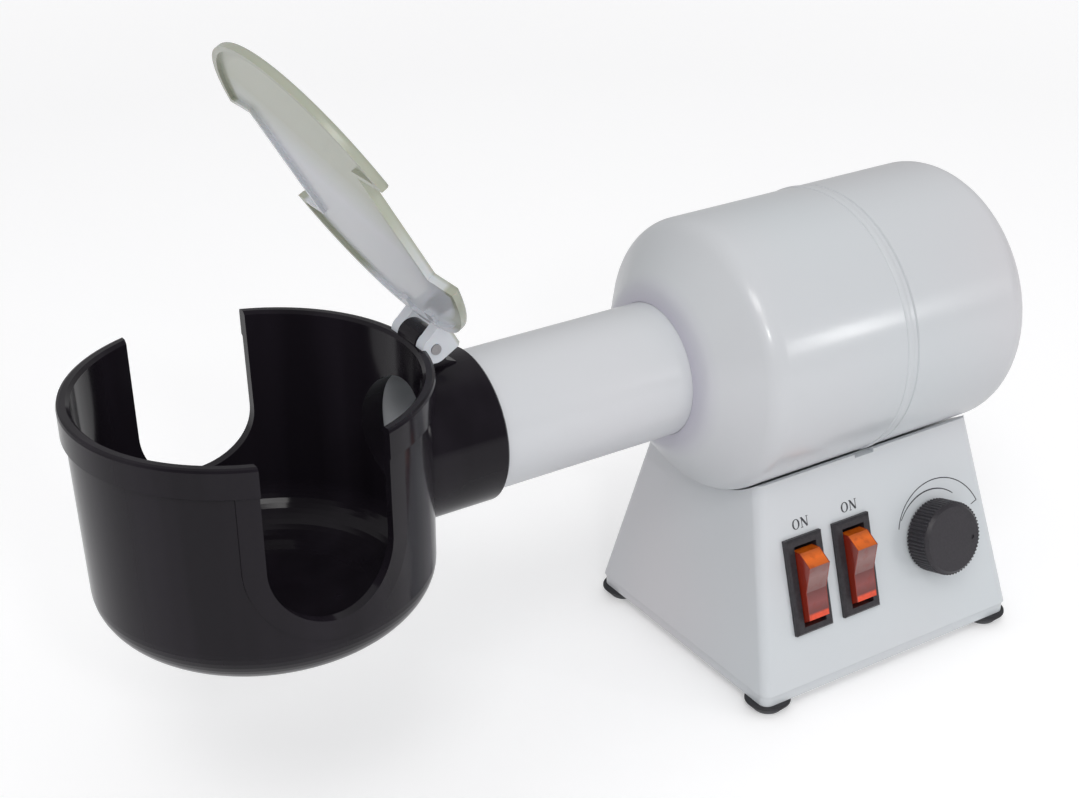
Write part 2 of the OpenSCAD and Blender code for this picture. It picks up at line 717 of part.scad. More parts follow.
// Thin liner that keeps the drum's front cool
module heat_shield() color("silver") on_axis() rotate_extrude() polygon([
    cone_point(tube_r + 0.6, shield_depth), cone_point(shield_r - 2, shield_depth),
    [shield_r, cone_point(shield_r - 2, shield_depth).y + 4], [shield_r, shield_back_x],
    [shield_r - shield_wall, shield_back_x],
    [shield_r - shield_wall, cone_point(shield_r - 2, shield_depth + shield_wall).y + 4],
    cone_point(shield_r - 2 - shield_wall, shield_depth + shield_wall),
    cone_point(tube_r + 0.6, shield_depth + shield_wall)]);

module shield_brackets() color("silver") on_axis() around(3, 30) {
    in_r = shield_r + 0.15;
    out_r = drum_r - drum_wall - 0.3;
    translate([(in_r + out_r) / 2, 0, shield_back_x - 7]) box([out_r - in_r, 8, 0.8]);
    translate([in_r + 0.5, 0, shield_back_x - 7]) box([0.8, 8, 6]);
    translate([out_r - 1.2, 0, shield_back_x - 7]) box([0.8, 8, 6]);
}

heater_front_x = cone_x + 7;
heater_len = shield_back_x - heater_front_x - 1;
heater_wide_r = shield_r - shield_wall - 0.3;
heater_slim_r = heater_wide_r - 3;
heater_end = 4;

// Two crossed mica boards, wider at both ends where the shield holds them
module heater_frame() color("#cdb98a") on_axis() for (a = [0, 90]) rotate([0, 0, a])
    translate([0, 0.5, heater_front_x]) rotate([90, 0, 0]) linear_extrude(1) difference() {
        translate([-heater_wide_r, 0]) square([2 * heater_wide_r, heater_len]);
        for (s = [-1, 1]) translate([s > 0 ? heater_slim_r : -heater_slim_r - 9, heater_end])
            square([9, heater_len - 2 * heater_end]);
        // the second board slides into a half-length slit
        translate([-0.55, a == 0 ? heater_len / 2 : -1]) square([1.1, heater_len / 2 + 1.05]);
    }

coil_wire_r = 0.9;
coil_steps = 16;
coil_r = heater_slim_r + coil_wire_r + 0.2;
coil_pitch = (heater_len - 2 * heater_end - 4) / coil_turns;

// Sweep of a round wire along a list of points, with flat ends
function unit(v) = v / norm(v);
function sweep_points(path, r, sides) = [for (i = [0 : len(path) - 1])
    let (t = unit(path[min(i + 1, len(path) - 1)] - path[max(i - 1, 0)]),
         side = unit(cross(t, abs(t.z) < 0.9 ? [0, 0, 1] : [1, 0, 0])), up = cross(side, t))
    for (k = [0 : sides - 1]) path[i] + r * (side * cos(k * 360 / sides) + up * sin(k * 360 / sides))];
function sweep_faces(n, sides) = concat(
    [[for (k = [0 : sides - 1]) k]],
    [for (i = [0 : n - 2], k = [0 : sides - 1])
        [i * sides + k, (i + 1) * sides + k, (i + 1) * sides + (k + 1) % sides, i * sides + (k + 1) % sides]],
    [[for (k = [sides - 1 : -1 : 0]) (n - 1) * sides + k]]);

module wire(path, r, sides = 6) {
    polyhedron(points = sweep_points(path, r, sides), faces = sweep_faces(len(path), sides), convexity = 8);
}

// Coiled element wound round the outside of the mica cross
module heater_coil() color("#8d8a86") on_axis() wire(
    [for (i = [0 : coil_turns * coil_steps])
        let (a = 360 * i / coil_steps)
        [coil_r * cos(a), coil_r * sin(a), heater_front_x + heater_end + 2 + coil_pitch * i / coil_steps]],
    coil_wire_r);

// Cut-out disc on the face of one board, with its two tags
module thermostat() color("#d8d4cc") on_axis() translate([15, 0.6, heater_front_x + 18]) {
    rotate([-90, 0, 0]) {
        cylinder(r = 6, h = 3.4);
        cylinder(r = 7.5, h = 0.8);
    }
    for (z = [-4, 4]) translate([0, 4.6, z]) cube([5, 3, 0.8], center = true);
}

// ---- Tube ----------------------------------------------------------------

// Straight tube with its inner end flared against the nose's cone
module air_tube() color("whitesmoke") on_axis() rotate_extrude() polygon([
    [tube_r, tube_stop_x - base_x], [tube_r, cone_point(tube_r, flare_depth).y],
    cone_point(flare_r, flare_depth), cone_point(flare_r, flare_depth + tube_wall),
    cone_point(tube_r - tube_wall + 0.3, flare_depth + tube_wall),
    [tube_r - tube_wall, cone_point(tube_r, flare_depth).y], [tube_r - tube_wall, tube_stop_x - base_x]]);

// ---- Cup -----------------------------------------------------------------

// Outside of the cup, swollen by the given amount
module cup_outside(grow = 0, band = true) {
    top = band ? [
        [wall_top_r + grow, cup_h - band_h - 0.9], [rim_r, cup_h - band_h],
        [rim_r, cup_h - 0.9], [rim_r - 0.25, cup_h - 0.25], [rim_r - 0.9, cup_h]]
        : [[wall_top_r + grow, cup_h - 2]];
    translate([cup_x, 0, cup_z]) rotate_extrude() polygon(concat(
        [[0, 0]],
        arc([wall_low_r + grow - foot_curve_r, foot_curve_h], foot_curve_r, foot_curve_h, -90, 0, 16),
        top, [[0, top[len(top) - 1].y]]));
}

module cup_inside() {
    translate([cup_x, 0, cup_z]) rotate_extrude() polygon(concat(
        [[0, cup_wall]],
        arc([wall_low_r - foot_curve_r, foot_curve_h], foot_curve_r - cup_wall, foot_curve_h - cup_wall,
            -90, 0, 16),
        [[cup_in_r, cup_h - 0.9], [cup_in_r + 0.9, cup_h + 0.001], [cup_in_r + 0.9, cup_h + 5],
         [0, cup_h + 5]]));
}

// U shape that runs through both sides of the cup
module slot_prism(r, low_z) {
    translate([cup_x, -rim_r - 10, slot_arc_z]) rotate([-90, 0, 0])
        cylinder(r = r, h = 2 * rim_r + 20);
    translate([cup_x - r, -rim_r - 10, slot_arc_z]) cube([2 * r, 2 * rim_r + 20, low_z]);
}

module along_tube(r1, r2, x0, x1) {
    translate([x0, 0, axis_z]) rotate([0, 90, 0]) cylinder(r1 = r1, r2 = r2, h = x1 - x0);
}

module cup() color("#1d1c1f") {
    collar_x = cup_x + collar_reach;
    difference() {
        union() {
            cup_outside();
            intersection() {
                cup_outside(0.7, false);
                slot_prism(slot_r + border_w, 24);
            }
            along_tube(collar_r, collar_r, cup_x + 38, collar_x - 0.6);
            along_tube(collar_r, collar_r - 0.6, collar_x - 0.6, collar_x);
            hinge_lug();
        }
        cup_inside();
        slot_prism(slot_r, 60);
        ear_recesses();
        along_tube(tube_r + gap_slide, tube_r + gap_slide, tube_stop_x - 0.2, collar_x + 5);
        along_tube(tube_r - 1.6, tube_r - 1.6, cup_x + 30, tube_stop_x);
        translate([pin_x, -20, pin_z]) rotate([-90, 0, 0]) cylinder(r = pin_r + 0.02, h = 40);
        translate([collar_x - 8, 0, axis_z - collar_r - 3]) cylinder(r = m3_r + gap_screw, h = 6);
    }
}

// Black lug that stands on the collar and carries the hinge pin
module hinge_lug() {
    lug_r = 4.4;
    foot_z = axis_z + collar_r - 2.5;
    translate([0, lug_half, 0]) rotate([90, 0, 0]) linear_extrude(2 * lug_half) union() {
        translate([pin_x, pin_z]) circle(r = lug_r);
        translate([pin_x - lug_r, foot_z]) square([2 * lug_r, pin_z - foot_z]);
        polygon([[pin_x, foot_z], [pin_x, pin_z], [pin_x + lug_r, foot_z + 6],
            [pin_x + lug_r + 1, foot_z + 3.6], [pin_x + lug_r + 4, foot_z + 2.4], [pin_x + lug_r + 4, foot_z]]);
    }
}

// Recesses in the rim that let the lid's ears turn
module ear_recesses() {
    for (s = [-1, 1]) translate([pin_x, s > 0 ? ear_in - 0.2 : -ear_out - gap_seat, pin_z])
        rotate([-90, 0, 0]) cylinder(r = ear_r + 0.4, h = ear_t + gap_seat + 0.2);
}

module collar_screw() color("silver")
    translate([cup_x + collar_reach - 8, 0, axis_z - collar_r - 1.2]) difference() {
        cylinder(r = m3_r, h = collar_r - tube_r + 0.9);
        translate([0, 0, -0.1]) box([4, 0.6, 0.9]);
    }

// ---- Lid -----------------------------------------------------------------

// Everything here is drawn with the lid closed, then turned about the pin.
// Local x runs from the pin to the cup's centre, local z upwards.
module on_lid() {
    translate([pin_x, 0, pin_z]) rotate([0, lid_open, 0]) mirror([1, 0, 0]) children();
}

module lid_cuts(grow, z0, z1) {
    half = slot_r + grow;
    for (s = [-1, 1]) translate([lid_reach - half, s > 0 ? lid_cut_w / 2 - grow : -lid_r - 5, z0])
        cube([2 * half, lid_r + 5 - lid_cut_w / 2 + grow, z1 - z0]);
}

module lid() color("#b9bcae") on_lid() difference() {
    low = lid_top - lid_edge_h;
    union() {
        difference() {
            translate([lid_reach, 0, 0]) rotate_extrude() polygon(concat(
                [[0, low], [lid_r, low]],
                arc([lid_r - 1.2, lid_top - 1.2], 1.2, 1.2, 0, 90, 5),
                [[0, lid_top]]));
            lid_cuts(0, low - 1, lid_top + 1);
            difference() {
                translate([lid_reach, 0, low - 1]) cylinder(r = lid_r - 1.6, h = 1 + lid_edge_h - lid_plate);
                lid_cuts(1.6, low - 2, lid_top + 2);
            }
        }
        for (s = [-1, 1]) translate([0, s > 0 ? ear_out : -ear_in, 0]) rotate([90, 0, 0])
            linear_extrude(ear_t) union() {
                circle(r = ear_r);
                polygon([[-ear_r, 0], [-ear_r, lid_top - 0.8], [0.8 - ear_r, lid_top],
                    [9, lid_top], [9, low + 0.05], [ear_r + 1, low + 0.05], [ear_r, 0]]);
            }
    }
    translate([0, -20, 0]) rotate([-90, 0, 0]) cylinder(r = pin_r + gap_run, h = 40);
}

module hinge_pin() color("silver") translate([pin_x, -ear_out - 0.3, pin_z])
    rotate([-90, 0, 0]) cylinder(r = pin_r, h = 2 * ear_out + 0.6);

// ---- Assembly ------------------------------------------------------------

base_housing();
bottom_pan();
rubber_feet();
foot_screws();
power_switch_body();
power_rocker();
heat_switch_body();
heat_rocker();
switch_terminals();
heat_knob();
dial_shaft();
dial_body();
dial_nut();
control_board();
board_standoffs();
board_parts();
triac_heatsink();
terminal_block();
cable_gland();
saddle_screws();
saddle_nuts();
wire_grommet();
drum_front_shell();
drum_rear_cover();
cover_screws();
motor_bracket();
motor_screws();
motor_can();
motor_endcap();
motor_magnets();
motor_armature();
motor_shaft();
fan_impeller();
heat_shield();
shield_brackets();
heater_frame();
heater_coil();
thermostat();
air_tube();
cup();
collar_screw();
lid();
hinge_pin();
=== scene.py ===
import json

import bpy
import numpy as np
from mathutils import Matrix, Vector


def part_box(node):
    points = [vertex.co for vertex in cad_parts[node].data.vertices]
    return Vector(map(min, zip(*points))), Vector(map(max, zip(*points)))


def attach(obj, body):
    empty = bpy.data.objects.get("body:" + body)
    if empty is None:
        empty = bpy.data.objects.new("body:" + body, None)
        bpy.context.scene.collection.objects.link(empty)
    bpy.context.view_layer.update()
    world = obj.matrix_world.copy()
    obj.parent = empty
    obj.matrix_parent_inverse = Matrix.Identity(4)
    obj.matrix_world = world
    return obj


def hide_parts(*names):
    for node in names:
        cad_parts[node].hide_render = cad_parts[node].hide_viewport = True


bl_info = {
    "name": "Eyeglass Frame Warmer",
    "version": (1, 0, 0),
    "blender": (4, 5, 0),
    "location": "View3D > Sidebar > Warmer",
    "description": "Finishes, printed marks and studio for a bench-top eyeglass frame warmer",
    "category": "Object",
}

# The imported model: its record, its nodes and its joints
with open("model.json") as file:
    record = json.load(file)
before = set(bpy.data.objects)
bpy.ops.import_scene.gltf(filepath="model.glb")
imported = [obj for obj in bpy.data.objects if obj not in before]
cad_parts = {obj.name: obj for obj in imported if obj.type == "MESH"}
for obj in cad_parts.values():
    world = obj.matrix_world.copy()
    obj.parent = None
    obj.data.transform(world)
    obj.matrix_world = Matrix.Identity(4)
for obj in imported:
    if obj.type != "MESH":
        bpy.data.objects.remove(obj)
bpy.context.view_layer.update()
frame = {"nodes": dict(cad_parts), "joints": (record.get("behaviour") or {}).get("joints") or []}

MM = 0.001


# ---- Places and directions, from the joints ---------------------------------


def joint_named(name):
    """The record of one joint."""
    return next(j for j in frame["joints"] if j["name"] == name)


def joint_place(name):
    """Where a joint's axis passes, in metres."""
    return np.array(joint_named(name)["pos_m"])


KNOB_AT = joint_place("knob_turn")
POWER_AT = joint_place("power_rock")
HEAT_AT = joint_place("heat_rock")
PIN_AT = joint_place("lid_hinge")
DRUM_AT = joint_place("fan_spin")

# The control panel's own axes
PANEL_OUT = np.array(joint_named("knob_turn")["axis"])
PANEL_RIGHT = np.array([1.0, 0.0, 0.0])
PANEL_UP = np.cross(PANEL_OUT, PANEL_RIGHT)

# The open lid's own axes: from the pin to the lid's tip, and out of its upper side
LID_OPEN = np.radians(60.0)
LID_TIP = np.array([-np.cos(LID_OPEN), 0.0, np.sin(LID_OPEN)])
LID_UP = np.array([np.sin(LID_OPEN), 0.0, np.cos(LID_OPEN)])


def on_panel(centre, right, up, out):
    """Points in the room from millimetres right, up and out of a centre on the panel:
    centre + right * R + up * U + out * N, as one array of shape (n, 3)."""
    right, up, out = np.broadcast_arrays(right, up, out)
    shift = np.stack([right.ravel(), up.ravel(), out.ravel()], axis=1) * MM
    return centre + shift @ np.array([PANEL_RIGHT, PANEL_UP, PANEL_OUT])


# ---- Meshes -----------------------------------------------------------------


def grid_faces(rows, columns, closed_rows=False, closed_columns=False):
    """Quads between neighbours of a rows x columns grid of points, wrapped round where closed."""
    row = np.arange(rows if closed_rows else rows - 1)
    column = np.arange(columns if closed_columns else columns - 1)
    row, column = (a.ravel() for a in np.meshgrid(row, column, indexing="ij"))
    next_row, next_column = (row + 1) % rows, (column + 1) % columns
    corners = [(row, column), (next_row, column), (next_row, next_column), (row, next_column)]
    return np.stack([r * columns + c for r, c in corners], axis=1)


def make_piece(name, points, faces, material, body, smooth=False):
    """A mesh object from arrays of points (metres) and faces, riding on one body."""
    mesh = bpy.data.meshes.new(name)
    mesh.from_pydata(points.tolist(), [], [list(map(int, f)) for f in faces])
    mesh.validate()
    mesh.update()
    mesh.materials.append(material)
    mesh.polygons.foreach_set("use_smooth", np.full(len(mesh.polygons), smooth))
    piece = bpy.data.objects.new(name, mesh)
    bpy.context.scene.collection.objects.link(piece)
    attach(piece, body)
    return piece


def joined(parts):
    """One set of points and faces from several (points, faces) pairs."""
    points, faces, start = [], [], 0
    for part_points, part_faces in parts:
        points.append(part_points)
        faces += [[i + start for i in f] for f in np.asarray(part_faces).tolist()]
        start += len(part_points)
    return np.concatenate(points), faces


def quarter_turned(path):
    """The unit tangent at each point of a flat path, turned a quarter to its left."""
    tangent = np.gradient(path, axis=0)
    tangent /= np.linalg.norm(tangent, axis=1, keepdims=True)
    return np.stack([-tangent[:, 1], tangent[:, 0]], axis=1)


def ribbon(centre, path, widths, proud):
    """A flat printed line on the panel. The path is n points (right, up) in millimetres, and each
    point moves half its width to both sides along the path's normal. The line has a top and four
    thin sides down to the paint."""
    half = quarter_turned(path) * widths[:, None] / 2
    left, right = path + half, path - half
    section = [(left, 0.0), (left, proud), (right, proud), (right, 0.0)]
    points = np.stack([on_panel(centre, edge[:, 0], edge[:, 1], h) for edge, h in section], axis=1)
    faces = grid_faces(len(path), 4, closed_columns=True).tolist()
    start_cap = [3, 2, 1, 0]
    end_cap = (np.arange(4) + 4 * (len(path) - 1)).tolist()
    return points.reshape(-1, 3), faces + [start_cap, end_cap]


# ---- Materials --------------------------------------------------------------


class NodeMaker:
    """Adds nodes to one tree by short calls."""

    def __init__(self, tree):
        self.tree = tree

    def link(self, source, target):
        self.tree.links.new(source, target)

    def node(self, kind, inputs=None, **properties):
        """A node with its properties set, and its inputs given as values or as outputs to link."""
        made = self.tree.nodes.new(kind)
        for key, value in properties.items():
            setattr(made, key, value)
        for key, value in (inputs or {}).items():
            if isinstance(value, bpy.types.NodeSocket):
                self.link(value, made.inputs[key])
            else:
                made.inputs[key].default_value = value
        return made

    def maths(self, operation, first, second=0.0):
        """One step of arithmetic on numbers or outputs."""
        made = self.node("ShaderNodeMath", {0: first, 1: second}, operation=operation)
        return made.outputs["Value"]

    def vector_maths(self, operation, first, second=None):
        """One step of arithmetic on vectors."""
        inputs = {0: first} if second is None else {0: first, 1: tuple(second)}
        return self.node("ShaderNodeVectorMath", inputs, operation=operation).outputs

    def spread(self, factor, low, high, start=0.0, end=1.0, shape="LINEAR"):
        """The factor between start and end, mapped to low and high."""
        return self.node(
            "ShaderNodeMapRange",
            {"Value": factor, "From Min": start, "From Max": end, "To Min": low, "To Max": high},
            interpolation_type=shape,
        ).outputs["Result"]


class Finish(NodeMaker):
    """A node material with one Principled shader. A socket's value is given by the socket's name
    in small letters, such as coat_weight."""

    def __init__(self, name, colour, roughness, **sockets):
        self.material = bpy.data.materials.new(name)
        self.material.use_nodes = True
        super().__init__(self.material.node_tree)
        self.shader = self.tree.nodes["Principled BSDF"]
        self.shader.inputs["Base Color"].default_value = (*colour, 1.0)
        self.shader.inputs["Roughness"].default_value = roughness
        for socket, value in sockets.items():
            label = socket.replace("_", " ").title().replace("Ior", "IOR")
            self.shader.inputs[label].default_value = value
        self._place = None

    @property
    def place(self):
        """Object coordinates, in metres."""
        if self._place is None:
            self._place = self.node("ShaderNodeTexCoord").outputs["Object"]
        return self._place

    def stretched(self, scale):
        """Object coordinates, scaled along each axis."""
        made = self.node("ShaderNodeMapping", {"Vector": self.place, "Scale": scale})
        return made.outputs["Vector"]

    def noise(self, scale, detail=2.0, at=None):
        """Soft noise from 0 to 1, with a scale in waves per metre."""
        return self.node(
            "ShaderNodeTexNoise", {"Vector": at or self.place, "Scale": scale, "Detail": detail}
        ).outputs["Fac"]

    def along(self, direction, origin=(0.0, 0.0, 0.0)):
        """Distance in metres along a direction from an origin, by a dot product."""
        shifted = self.vector_maths("SUBTRACT", self.place, origin)["Vector"]
        return self.vector_maths("DOT_PRODUCT", shifted, direction)["Value"]

    def distance(self, centre, axes=(1.0, 1.0, 1.0)):
        """Distance in metres from a centre, counting only the axes that are 1."""
        shifted = self.vector_maths("SUBTRACT", self.place, centre)["Vector"]
        kept = self.vector_maths("MULTIPLY", shifted, axes)["Vector"]
        return self.vector_maths("LENGTH", kept)["Value"]

    def ramp(self, factor, *stops):
        """Colours along a factor: each stop is (position, colour)."""
        node = self.node("ShaderNodeValToRGB", {"Fac": factor})
        elements = node.color_ramp.elements
        while len(elements) < len(stops):
            elements.new(0.5)
        for element, (position, colour) in zip(elements, stops):
            element.position = position
            element.color = (*colour, 1.0)
        return node.outputs["Color"]

    def mix(self, amount, low, high):
        """A colour between two others, each given as a value or an output."""
        low, high = ((*c, 1.0) if isinstance(c, tuple) else c for c in (low, high))
        # a Mix node keeps its colour sockets at 6 and 7, and its colour output at 2
        made = self.node("ShaderNodeMix", {0: amount, 6: low, 7: high}, data_type="RGBA")
        return made.outputs[2]

    def colour(self, source):
        self.link(source, self.shader.inputs["Base Color"])

    def rough(self, source):
        self.link(source, self.shader.inputs["Roughness"])

    def glow(self, colour, strength):
        """Light of its own, with a colour and a strength given as values or outputs."""
        for socket, value in (("Emission Color", colour), ("Emission Strength", strength)):
            if isinstance(value, bpy.types.NodeSocket):
                self.link(value, self.shader.inputs[socket])
            else:
                self.shader.inputs[socket].default_value = value

    def bump(self, height, strength, depth):
        """Bump of a height map, with its depth in metres."""
        inputs = {"Height": height, "Strength": strength, "Distance": depth}
        normal = self.node("ShaderNodeBump", inputs).outputs["Normal"]
        self.link(normal, self.shader.inputs["Normal"])

    def on(self, *node_names):
        """Puts this material on whole CAD nodes."""
        for name in node_names:
            for slot in frame["nodes"][name].material_slots:
                slot.material = self.material
        return self


def mixed(tone, other, amount):
    """A tone moved part of the way to another."""
    return tuple(a + (b - a) * amount for a, b in zip(tone, other))


def shaded(tone, gain):
    """A tone made lighter or darker."""
    return tuple(min(1.0, c * gain) for c in tone)


def tinted(tone, gains):
    """A tone with a gain of its own for red, green and blue."""
    return tuple(c * gain for c, gain in zip(tone, gains))


# ---- Settings ---------------------------------------------------------------


class WarmerEnamelSettings(bpy.types.PropertyGroup):
    """Baked enamel on the base, the drum and the tube."""

    tone: bpy.props.FloatVectorProperty(
        name="Enamel",
        description="Colour of the pale enamel",
        subtype="COLOR",
        size=3,
        min=0.0,
        max=1.0,
        default=(0.60, 0.615, 0.635),
    )
    roughness: bpy.props.FloatProperty(
        name="Roughness",
        description="Softness of the enamel's gloss",
        min=0.05,
        max=1.0,
        default=0.3,
    )
    peel: bpy.props.FloatProperty(
        name="Orange peel",
        description="Height of the fine ripple in the enamel",
        subtype="DISTANCE",
        unit="LENGTH",
        min=0.0,
        max=0.0005,
        default=0.00002,
    )


class WarmerPlasticSettings(bpy.types.PropertyGroup):
    """Moulded plastics: the cup, the lid, the knob and the switches."""

    cup_tone: bpy.props.FloatVectorProperty(
        name="Cup",
        description="Colour of the glossy black cup",
        subtype="COLOR",
        size=3,
        min=0.0,
        max=1.0,
        default=(0.0095, 0.0078, 0.0108),
    )
    lid_tone: bpy.props.FloatVectorProperty(
        name="Lid",
        description="Colour of the translucent lid",
        subtype="COLOR",
        size=3,
        min=0.0,
        max=1.0,
        default=(0.40, 0.42, 0.345),
    )
    knob_tone: bpy.props.FloatVectorProperty(
        name="Knob",
        description="Colour of the ribbed knob",
        subtype="COLOR",
        size=3,
        min=0.0,
        max=1.0,
        default=(0.033, 0.030, 0.036),
    )
    bezel_tone: bpy.props.FloatVectorProperty(
        name="Bezel",
        description="Colour of the switch bodies",
        subtype="COLOR",
        size=3,
        min=0.0,
        max=1.0,
        default=(0.030, 0.027, 0.032),
    )
    lamp_tone: bpy.props.FloatVectorProperty(
        name="Rocker",
        description="Colour of the lit rockers",
        subtype="COLOR",
        size=3,
        min=0.0,
        max=1.0,
        default=(0.74, 0.14, 0.01),
    )


class WarmerMarkSettings(bpy.types.PropertyGroup):
    """Printed marks on the control panel."""

    ink: bpy.props.FloatVectorProperty(
        name="Ink",
        description="Colour of the printed marks",
        subtype="COLOR",
        size=3,
        min=0.0,
        max=1.0,
        default=(0.022, 0.022, 0.03),
    )
    letter_height: bpy.props.FloatProperty(
        name="Letter height",
        description="Height of the capitals over the switches",
        subtype="DISTANCE",
        unit="LENGTH",
        min=0.001,
        max=0.006,
        default=0.0033,
    )
    scale_line: bpy.props.FloatProperty(
        name="Scale line",
        description="Width of the lines of the knob's scale",
        subtype="DISTANCE",
        unit="LENGTH",
        min=0.0001,
        max=0.001,
        default=0.00042,
    )


class WarmerStageSettings(bpy.types.PropertyGroup):
    """Camera, floor and light."""

    focal_length: bpy.props.FloatProperty(
        name="Focal length",
        description="Focal length on a sensor 36 mm wide",
        unit="CAMERA",
        min=20.0,
        max=200.0,
        default=60.12,
    )
    floor_tone: bpy.props.FloatVectorProperty(
        name="Floor",
        description="Colour of the floor",
        subtype="COLOR",
        size=3,
        min=0.0,
        max=1.0,
        default=(0.80, 0.80, 0.81),
    )
    daylight: bpy.props.FloatProperty(
        name="Daylight",
        description="Strength of the light from all round",
        min=0.0,
        max=3.0,
        default=0.80,
    )


# ---- Painted steel ----------------------------------------------------------

# Gains of the enamel's tone: in its clouds, and in a violet ring of painted shade round the tube's
# root
ROSY, COOL, SHADE_VIOLET = (1.02, 0.985, 0.995), (0.97, 1.0, 1.01), (0.82, 0.78, 0.88)
# The ring of painted shade round the tube's root, in millimetres: where it starts to fade, where it
# ends, and how far it reaches back from the nose
RING_FULL, RING_END, RING_BACK = 21.0, 29.0, 12.0


def enamel(name, settings, gain=1.0, painted_shade_ring=False):
    """Baked enamel: a rosy and a cool tone in broad clouds, a fine ripple and a soft second gloss.
    Where asked, a faint violet ring of painted shade darkens the crease round the air tube's root."""
    tone = shaded(settings.tone, gain)
    soft = settings.roughness
    finish = Finish(name, tone, soft, coat_weight=0.4, coat_roughness=0.16, ior=1.5)
    clouds = finish.spread(finish.noise(9.0, 1.0), 0.0, 1.0, 0.35, 0.65)
    paint = finish.mix(clouds, tinted(tone, ROSY), tinted(tone, COOL))
    if painted_shade_ring:
        # painted shade: a violet ring darkens the crease round the tube's root, on the nose only
        from_axis = finish.distance(DRUM_AT, (0.0, 1.0, 1.0))
        ring = finish.spread(from_axis, 1.0, 0.0, RING_FULL * MM, RING_END * MM)
        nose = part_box("drum_front_shell")[0][0]
        front = finish.spread(finish.along((1.0, 0.0, 0.0)), 1.0, 0.0, nose, nose + RING_BACK * MM)
        paint = finish.mix(finish.maths("MULTIPLY", ring, front), paint, tinted(tone, SHADE_VIOLET))
    finish.colour(paint)
    finish.rough(finish.spread(finish.noise(25.0, 1.0), soft * 0.92, soft * 1.08, 0.3, 0.7))
    finish.bump(finish.noise(420.0, 1.0), 0.4, settings.peel)
    return finish


# The front shell's outline, in millimetres. Places are along the axis, from the bead's foot: the
# exact solid's wall, tube hole, bead and seam
SHELL_R, SHELL_WALL, TUBE_HOLE_R = 42.5, 1.0, 20.55
BEAD_X, BEAD_H, BEAD_HALF_W, SEAM_X = 0.9, 0.4, 1.2, 3.5
# and the photographed nose: a nearly flat ring, a cone and a rounded shoulder
NOSE_LEN, RING_R, RING_SLOPE = 19.2, 25.45, 0.25
SHOULDER_R, SHOULDER_X = 9.0, -44.0
RING_BEND = 2.0  # length of the rounded edge on each side of the ring's rim

SHELL_FOOT_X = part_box("drum_front_shell")[1][0] - SEAM_X * MM


def arc(centre, rx, ry, start, end, count):
    """Points centre + (rx cos a, ry sin a) while a runs from start to end, in radians."""
    a = np.linspace(start, end, count)
    return np.stack([centre[0] + rx * np.cos(a), centre[1] + ry * np.sin(a)], axis=1)


def rounded_corner(before, corner, after, count):
    """A quadratic curve: (1 - t)^2 before + 2 t (1 - t) corner + t^2 after, for t from 0 to 1."""
    t = np.linspace(0.0, 1.0, count)[:, None]
    return (1 - t) ** 2 * before + 2 * t * (1 - t) * corner + t**2 * after


def shell_profile():
    """Outline of the front shell as (radius, place along the axis). The cone leaves the ring at
    RING_R and touches the shoulder's arc, so its angle is the bearing of the arc's centre plus
    asin(arc radius / distance). The inner wall is the outer one moved in along its normals."""
    neck = SHOULDER_X - NOSE_LEN
    rim = np.array([RING_R, neck + RING_SLOPE * (RING_R - TUBE_HOLE_R)])
    centre = np.array([SHELL_R - SHOULDER_R, SHOULDER_X])
    gap = centre - rim
    cone_angle = np.arctan2(gap[0], gap[1]) + np.arcsin(SHOULDER_R / np.hypot(*gap))
    along_ring = np.array([1.0, RING_SLOPE]) / np.hypot(1.0, RING_SLOPE)
    along_cone = np.array([np.sin(cone_angle), np.cos(cone_angle)])
    outer = np.concatenate([
        [[TUBE_HOLE_R, neck]],
        rounded_corner(rim - RING_BEND * along_ring, rim, rim + RING_BEND * along_cone, 9),
        arc(centre, SHOULDER_R, SHOULDER_R, -cone_angle, 0.0, 25),
    ])
    inner = outer + SHELL_WALL * quarter_turned(outer)
    inner_r = SHELL_R - SHELL_WALL
    inner[0, 0], inner[-1, 0] = TUBE_HOLE_R, inner_r
    bead = arc((SHELL_R, BEAD_X), BEAD_H, BEAD_HALF_W, -np.pi / 2, np.pi / 2, 13)
    seam = [[SHELL_R, SEAM_X], [inner_r, SEAM_X]]
    return np.concatenate([outer, bead, seam, inner[::-1]])


def turned(profile, steps):
    """A closed profile of (radius, place) carried round the drum's axis: a point at radius r and
    angle a lies at y = r sin a, z = r cos a. Its faces look out of the metal."""
    a = np.linspace(0.0, 2 * np.pi, steps, endpoint=False)[:, None]
    radius, place = profile[:, 0], profile[:, 1]
    x = np.broadcast_to(place, (steps, len(profile)))
    points = np.stack([x, radius * np.sin(a), radius * np.cos(a)], axis=-1) * MM
    points += [SHELL_FOOT_X, DRUM_AT[1], DRUM_AT[2]]
    faces = grid_faces(steps, len(profile), closed_rows=True, closed_columns=True)
    return points.reshape(-1, 3), faces


class WARMER_OT_enamel(bpy.types.Operator):
    """Pale baked enamel on the housing, the pan, both drum shells and the tube"""

    bl_idname = "warmer.enamel"
    bl_label = "Enamel"

    def execute(self, context):
        settings = context.scene.warmer_enamel
        # painted light: the base and the tube take the drum's enamel made lighter
        enamel("enamel_base", settings, 1.06).on("base_housing", "bottom_pan")
        enamel("enamel_tube", settings, 1.04).on("air_tube")
        # the drum's enamel takes the violet ring of painted shade round the tube's root
        drum = enamel("enamel_drum", settings, painted_shade_ring=True).on("drum_rear_cover")
        outline = turned(shell_profile(), 160)
        shell = make_piece("front_shell_skin", *outline, drum.material, "warmer", smooth=True)
        shell.data.set_sharp_from_angle(angle=np.radians(32))
        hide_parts("drum_front_shell")
        return {"FINISHED"}


# ---- Cup and lid ------------------------------------------------------------


